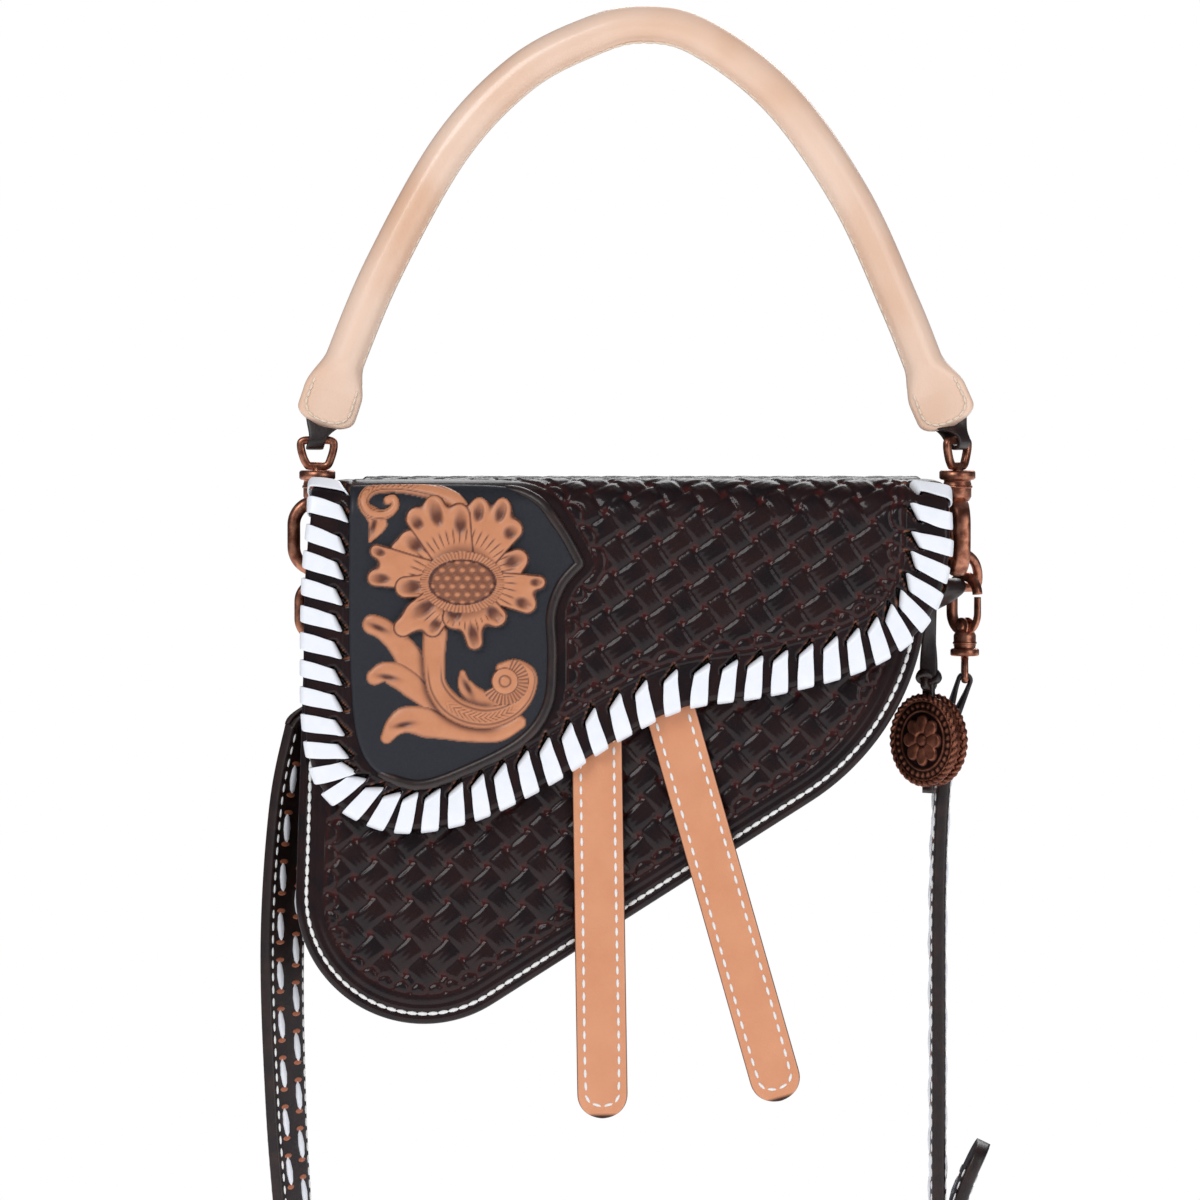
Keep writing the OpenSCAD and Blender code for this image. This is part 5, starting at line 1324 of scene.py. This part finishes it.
# Tabs of the dees
# A folded strap holds each dee to the end of the gusset, with one domed rivet through both leaves and the
# wall.
TAB_Y = (0, 5.04)
TAB_SEAT_Z = GUSSET_TOP - 9
TAB_UP, RIVET_DOWN, TAB_DOWN = 4.5, 3, 9
TAB_STRAP_HALF, TAB_OFF, RIVET_OFF = 4.2, 1.7, 3.2
TAB_ROWS = 12
wall_loop = outline(WALL_INSET, WALL_LEAN)
wall_ends = span(wall_loop, TAB_SEAT_Z + np.array([TAB_UP, -RIVET_DOWN, -TAB_DOWN]))
tab_half = TAB_STRAP_HALF * np.sqrt(1 - 0.9 * np.linspace(0, 1, TAB_ROWS) ** 6)
for side, label in SIDES:
    ends = wall_ends[side]
    sign = (-1, 1)[side]
    turn = math.radians(DEE_TURN[side])
    foot = (ends[0] + sign * TAB_OFF, TAB_Y[side], TAB_SEAT_Z + TAB_UP)
    low_end = (ends[2] + sign * TAB_OFF, TAB_Y[side], TAB_SEAT_Z - TAB_DOWN)
    upper = folded(DEE_FOOT[side], (-math.sin(turn), math.cos(turn), 0), foot, (0, 1, 0), 0.5, 2.4,
                   (1.4, 1.5), (TAB_STRAP_HALF, TAB_STRAP_HALF))
    plate_line = np.linspace(foot, low_end, TAB_ROWS)
    wide = every((0, 1, 0), TAB_ROWS)
    plate = tube(carry(plate_line, wide, unit(np.cross(turned(plate_line), wide)),
                       oval(22, 6) * coords(tab_half, 1.5)[:, None]))
    put(f"{label} tab", together([upper, plate]), dark, "bag", (f"dee_tab_{label}",))
    dome, faces = lathe([(0.02, 0), (3.1, 0)] + rivet_head(3.0, 1.2), 28)
    head = coords(sign * (dome[:, 2] + RIVET_OFF) + ends[1], dome[:, 1] + TAB_Y[side],
                  dome[:, 0] + TAB_SEAT_Z - RIVET_DOWN)
    put(f"{label} tab rivet", (head, faces), copper, "bag", ("tab_rivets",) if side == 0 else ())


# Crossbody strap
# A long dark strap in two parts with a buckle. White lace is buckstitched along it in two rows through
# punched slits, its edges are sewn in fine white thread, and each end is folded round the eye of a smaller
# snap.
STRAP_W, STRAP_T = 19, 4.5
STRAP_HALF, STRAP_DROP = 100, 474
STRAP_TOP = -170.24
STRAP_Y = 10.5
BUCKLE_X = 92.3
BUCKLE_Z = STRAP_TOP - STRAP_DROP * 0.475
BUCKLE_H = 20
BUCKLE_WIRE_R = 1.7
FOLD_OUT = 4.8
UNDER_X, OVER_X, REST_X = 87.3, 99.65, 97.7
# The hanging loop as shares of half its width and of its drop, and the billet of the buckle's height
LONG_SHARES = (
    (-1.04, 0.088), (-1.09, 0.14), (-1.12, 0.23), (-1.11, 0.335), (-1.085, 0.42), (-1.04, 0.57),
    (-0.96, 0.72), (-0.8, 0.86), (-0.52, 0.955), (-0.12, 1), (0.28, 0.975), (0.58, 0.885), (0.76, 0.76),
    (0.85, 0.64), (0.885, 0.56))
SHORT_SHARES = ((0.96, 0.084), (0.935, 0.13), (0.923, 0.2), (0.923, 0.3), (0.923, 0.4))
BILLET_SHARES = ((0, 0.95), (0, 1.5), (0.035, 2.1), (0.09, 2.7))


def hung(shares):
    """Points of the hanging loop from their shares."""
    return np.array(shares) * (STRAP_HALF, -STRAP_DROP) + (0, STRAP_TOP)


across_buckle = [(UNDER_X, BUCKLE_Z - BUCKLE_H - STRAP_T), (UNDER_X, BUCKLE_Z - BUCKLE_H + BUCKLE_WIRE_R),
                 (UNDER_X + 0.45 * (OVER_X - UNDER_X), BUCKLE_Z - BUCKLE_H * 0.56),
                 (UNDER_X + 0.88 * (OVER_X - UNDER_X), BUCKLE_Z - BUCKLE_H * 0.22), (OVER_X, BUCKLE_Z)]
billet = np.array(BILLET_SHARES) * (STRAP_HALF, BUCKLE_H) + (REST_X, BUCKLE_Z)
long_line = evenly(curve(np.vstack([hung(LONG_SHARES), across_buckle, billet]), 12), 620)
into_buckle = [(BUCKLE_X, BUCKLE_Z + 2 * FOLD_OUT), (BUCKLE_X, BUCKLE_Z + 3.2)]
short_line = evenly(curve(np.vstack([hung(SHORT_SHARES), into_buckle]), 12), 180)


def strap_frame(line, turn):
    """The middle line in space, and the ways across and through the strap, turned by an angle round it."""
    d = turned(line)
    c, s = np.cos(turn)[:, None], np.sin(turn)[:, None]
    side = coords(-d[:, 1], 0, d[:, 0])
    back = np.array([0, 1, 0])
    return in_space(line, STRAP_Y), side * s - back * c, side * c + back * s


def lay(line, wide, thick, s, offset, height):
    """Places on a strap: s along it, offset across it and height out of its middle."""
    at = run(line)
    place, across, out = (read_at(values, at, s) for values in (line, wide, thick))
    return place + offset * across + height * out, unit(across), unit(out)


SLIT_PITCH, SLIT_FAR = 15.3, 4.9
LACE_OFF, EDGE_OFF = 4.1, 7.9
LACE_FROM, EDGE_FROM, EDGE_PITCH = 9, 4, 3.9
STRAP_TURN = 37
slit = Finish("raw slit edge", "natural_leather", 0.6)
slit.set("Base Color", colour(176, 104, 74))
long_s = run(long_line)
long_turn = -math.radians(STRAP_TURN) * (1 - smooth(long_s / long_s[-1] / 0.52))
short_turn = np.zeros(len(short_line))
flat = oval(44, 6)
sewn_in = 1 - 0.12 * bell(np.abs(flat[:, 0]), 0.03, 0.86)
for title, path, turn, node in (("long strap", long_line, long_turn, "long_strap"),
                                ("short strap", short_line, short_turn, "buckle_strap")):
    line, wide, thick = strap_frame(path, turn)
    s = run(line)
    tip_far = s[-1] - s if node == "long_strap" else np.full(len(s), 20.0)
    half = STRAP_W / 2 * round_end(tip_far, 9, 2.5, 0.01)
    size = coords(half, STRAP_T / 2)[:, None]
    body = flat * coords(1, sewn_in) * size
    put(title, tube(carry(line, wide, thick, body)), dark, "strap", (node,))
    for face in (-1, 1):
        sunk = face * (STRAP_T / 2 - 0.05)
        for number, offset in enumerate((-LACE_OFF, LACE_OFF)):
            at = np.arange(LACE_FROM + number * SLIT_PITCH / 2, s[-1] - 12, SLIT_PITCH)
            place, across, out = lay(line, wide, thick, at, offset, sunk)
            laces = stitches(place, np.cross(across, out) + 0.12 * across, out, 9.2, 3.4, 0.85)
            put(f"{title} laces {number} {face + 1}", laces, lace, "strap")
            for step in (-1, 1):
                place, across, out = lay(line, wide, thick, at + step * SLIT_FAR, offset, face * STRAP_T / 2)
                put(f"{title} slits {number} {face + 1} {step + 1}",
                    stitches(place, across, out, 4.2, 1.7, 0.12), slit, "strap")
        for offset in (-EDGE_OFF, EDGE_OFF):
            place, across, out = lay(
                line, wide, thick, np.arange(EDGE_FROM, s[-1] - 8, EDGE_PITCH), offset, sunk)
            put(f"{title} edge stitches {int(offset > 0)} {face + 1}",
                stitches(place, np.cross(across, out), out, 2.7, 0.95, 0.32), white_thread, "strap")

fold_ends = [
    lathe_y([(0.02, y0), (4.3, y0), (FOLD_OUT, y0 + 0.7), (FOLD_OUT, y1 - 0.7), (4.3, y1), (0.02, y1)],
            (BUCKLE_X, STRAP_Y, BUCKLE_Z), 36) for y0, y1 in ((-9.5, -1.7), (1.7, 9.5))]
put("fold round the buckle", together(fold_ends), dark, "strap")

STRAP_HANG = ((-100.6, 7.3, -191.72), (100.39, 7.53, -189.81))
STRAP_EYE_TURN = (-53, 90)
SMALLER = 0.8
EYE_DOWN = 7.36
for side, label in SIDES:
    snap((f"strap_eye_{label}", f"strap_hook_{label}", f"strap_gate_{label}", f"strap_rivet_{label}"),
         STRAP_HANG[side], DEE_TURN[side], STRAP_EYE_TURN[side],
         ("strap", f"strap_hook_{label}", f"strap_gate_{label}", f"strap_hook_{label}"), SMALLER, -1, 4.0)
    line, wide, _ = strap_frame(*((long_line, long_turn), (short_line, short_turn))[side])
    turn = math.radians(STRAP_EYE_TURN[side])
    bar_way = np.array([math.cos(turn), math.sin(turn), 0])
    foot_way = wide[0] * np.sign(wide[0] @ bar_way)
    end = folded(np.array(STRAP_HANG[side]) - (0, 0, EYE_DOWN), bar_way, line[0], foot_way, 0.6, 1.85,
                 (1.3, 2.3), (3.1, STRAP_W / 2 - 0.1))
    put(f"{label} end of the strap", end, dark, "strap", (f"strap_end_{label}",))


def rounded(half_a, half_b, r):
    """A rounded rectangle as a closed line of 80 points: four quarter circles of radius r."""
    a = np.linspace(0, math.pi / 2, 6)
    quarter = [coords((half_a - r) * ca + r * np.cos(a + q * math.pi / 2),
                      (half_b - r) * cb + r * np.sin(a + q * math.pi / 2))
               for q, (ca, cb) in enumerate(((1, 1), (-1, 1), (-1, -1), (1, -1)))]
    return evenly(np.vstack(quarter + [quarter[0][:1]]), 81)[:-1]


BUCKLE_HALF_W = 11.8
PRONG_OUT = 3.2
KEEPER_UP = 26
loop = rounded(BUCKLE_HALF_W, BUCKLE_H / 2, 3.2)
frame_line = coords(BUCKLE_X, STRAP_Y + loop[:, 0], BUCKLE_Z - BUCKLE_H / 2 + loop[:, 1])
put("buckle frame", wire(frame_line, BUCKLE_WIRE_R, BUCKLE_WIRE_R, 2.6, 16, True, (1, 0, 0)), copper, "strap",
    ("buckle_frame",))
prong_line = curve([(BUCKLE_X + PRONG_OUT + x, STRAP_Y, BUCKLE_Z + z) for x, z in (
    (0, 1.4), (0.1, -4), (0.1, -12), (0.1, -21.6))], 8)
ring_turn = np.arange(28) * 2 * np.pi / 28
ring_round = coords(BUCKLE_X + PRONG_OUT * np.cos(ring_turn), STRAP_Y,
                    BUCKLE_Z + PRONG_OUT * np.sin(ring_turn))
taper = np.linspace(1.25, 0.95, len(prong_line))
prong = together([wire(prong_line, taper, taper, 2.4, 14), wire(ring_round, 0.65, 1.25, 3, 14, True)])
put("buckle prong", prong, copper, "strap", ("buckle_prong",))
loop = rounded((REST_X - BUCKLE_X + 5.1) / 2 + 0.75, 9.8 + 0.75, 2.0)
keeper_line = coords((REST_X + BUCKLE_X) / 2 + loop[:, 0], STRAP_Y + loop[:, 1], BUCKLE_Z + KEEPER_UP)
put("strap keeper", wire(keeper_line, 0.75, 4, 5, 18, True, (0, 0, 1)), dark, "strap", ("strap_keeper",))


# Charm
# Two cast conchos laid back to back on a knotted leather thong that hangs from the right dee. Their faces
# carry a rope edge, a ring of beads and a plain rosette.
bronze = Finish("dark concho copper", "antique_copper", 0.4, Metallic=0.85)
bronze.set("Base Color", bronze.mix(
    bronze.mark("deep"), bronze.tints((2.5, 4), (0.35, 0.68), (122, 74, 58), (160, 100, 78)),
    colour(40, 22, 18)))
bronze.rough(0.34, 0.2, 1.0, 3.0)
CHARM_AT = np.array([88.825, -2.179, -168.33])
CHARM_TURN = -47
CONCHO_Z = -47
CONCHO_T, CONCHO_GAP = 2.0, 2.15
FACE_R, BEAD_ROW_R, ROSETTE_R, BOSS_R = 12.9, 10.9, 8.2, 1.9
BEADS, PETAL_WAVES, TWISTS = 30, 4, 36
CONCHO_STEPS = 216


def concho():
    """One disc facing -Y: height = dome + beads + rosette over a polar grid, with a twisted rope round the
    rim, whose radius is modulated as cos(36 a + 2 b)."""
    a = np.arange(CONCHO_STEPS) * 2 * np.pi / CONCHO_STEPS
    rr, aa = np.meshgrid(np.linspace(0.15, FACE_R, 60), a, indexing="ij")
    bead = bell(rr, 0.75, BEAD_ROW_R) * bell(aa * BEADS / (2 * np.pi) % 1, 0.3, 0.5)
    petal = np.abs(np.cos(aa * PETAL_WAVES)) ** 0.6
    star = smooth((ROSETTE_R * (0.72 + 0.28 * petal) - rr) / 0.7) * smooth((rr - BOSS_R) / 0.8)
    star *= 0.75 * (0.55 + 0.45 * petal)
    boss = 0.9 * np.sqrt(np.clip(1 - (rr / BOSS_R) ** 2, 0, 1))
    rings = 0.35 * bell(rr, 0.35, 9.2) + 0.35 * bell(rr, 0.3, 12.4)
    height = 0.9 * CONCHO_T + 0.5 * np.cos(rr / FACE_R * np.pi / 2) + 0.55 * bead + star + boss + rings - 0.45
    face = coords(rr * np.cos(aa), -height, rr * np.sin(aa))
    rim, back = (coords(r * np.cos(a), -0.2, r * np.sin(a)) for r in (13.2, 0.15))
    deep = np.clip(1 - (bead + star / 0.5 + boss + rings * 2), 0, 1) * smooth((12.6 - rr) / 0.5)
    disc = tube(np.concatenate([face, [rim, back]]))
    b = np.arange(14) * 2 * np.pi / 14
    rope_r = 1 + 0.24 * np.cos(TWISTS * a[:, None] + b * 2)
    rope_far = 13.4 + rope_r * np.cos(b)
    rope = tube(coords(rope_far * np.cos(a)[:, None], -CONCHO_T / 2 - rope_r * np.sin(b),
                       rope_far * np.sin(a)[:, None]), True)
    marks = np.concatenate(
        [deep.ravel(), np.zeros(2 * CONCHO_STEPS), np.where(rope_r < 0.95, 0.8, 0).ravel()])
    return together([disc, rope]), marks


disc, disc_marks = concho()
for title, node, sign in (("front concho", "concho_front", 1), ("back concho", "concho_back", -1)):
    points = disc[0] * (sign, sign, 1) - (0, sign * CONCHO_GAP / 2, 0)
    put(title, (about_z(points, CHARM_TURN) + CHARM_AT + (0, 0, CONCHO_Z), disc[1]), bronze, "charm", (node,),
        {"deep": disc_marks})

dee_way = math.radians(DEE_TURN[1])
thong = folded(CHARM_AT, (-math.sin(dee_way), math.cos(dee_way), 0), CHARM_AT + (0, 0, -27),
               (0.95, -0.3, 0), 2, 2.1, (1.0, 1.2), (1.3, 2.7))
stub_line = CHARM_AT + np.linspace((0, 0, -28), (0, 0, -63.5), 30)
stub_way = every(unit(np.array([0.68, -0.73, 0])), len(stub_line))
stub = tube(carry(stub_line, stub_way, np.cross(turned(stub_line), stub_way), oval(18, 5) * (2.2, 0.95)))
put("thong", together([thong, stub]), dark, "charm", ("charm_thong",))

# The knot: a trefoil, (sin a + 2 sin 2a, -0.7 sin 3a, cos a - 2 cos 2a)
a = np.arange(120) * 2 * np.pi / 120
trefoil = coords(np.sin(a) + 2 * np.sin(2 * a), -0.7 * np.sin(3 * a), np.cos(a) - 2 * np.cos(2 * a))
trefoil *= (1.05, 1.5, 0.95)
knot_t = unit(np.roll(trefoil, -1, 0) - np.roll(trefoil, 1, 0))
knot_out = unit(trefoil - knot_t * (trefoil * knot_t).sum(-1, keepdims=True) + 1e-6)
knot = carry(trefoil, np.cross(knot_t, knot_out), knot_out, oval(12, 3) * (1.5, 1.1))
knot_points, knot_faces = tube(knot, True)
put("knot", (knot_points + CHARM_AT + (0, 0, -28.2), knot_faces), dark, "charm", ("charm_knot",))
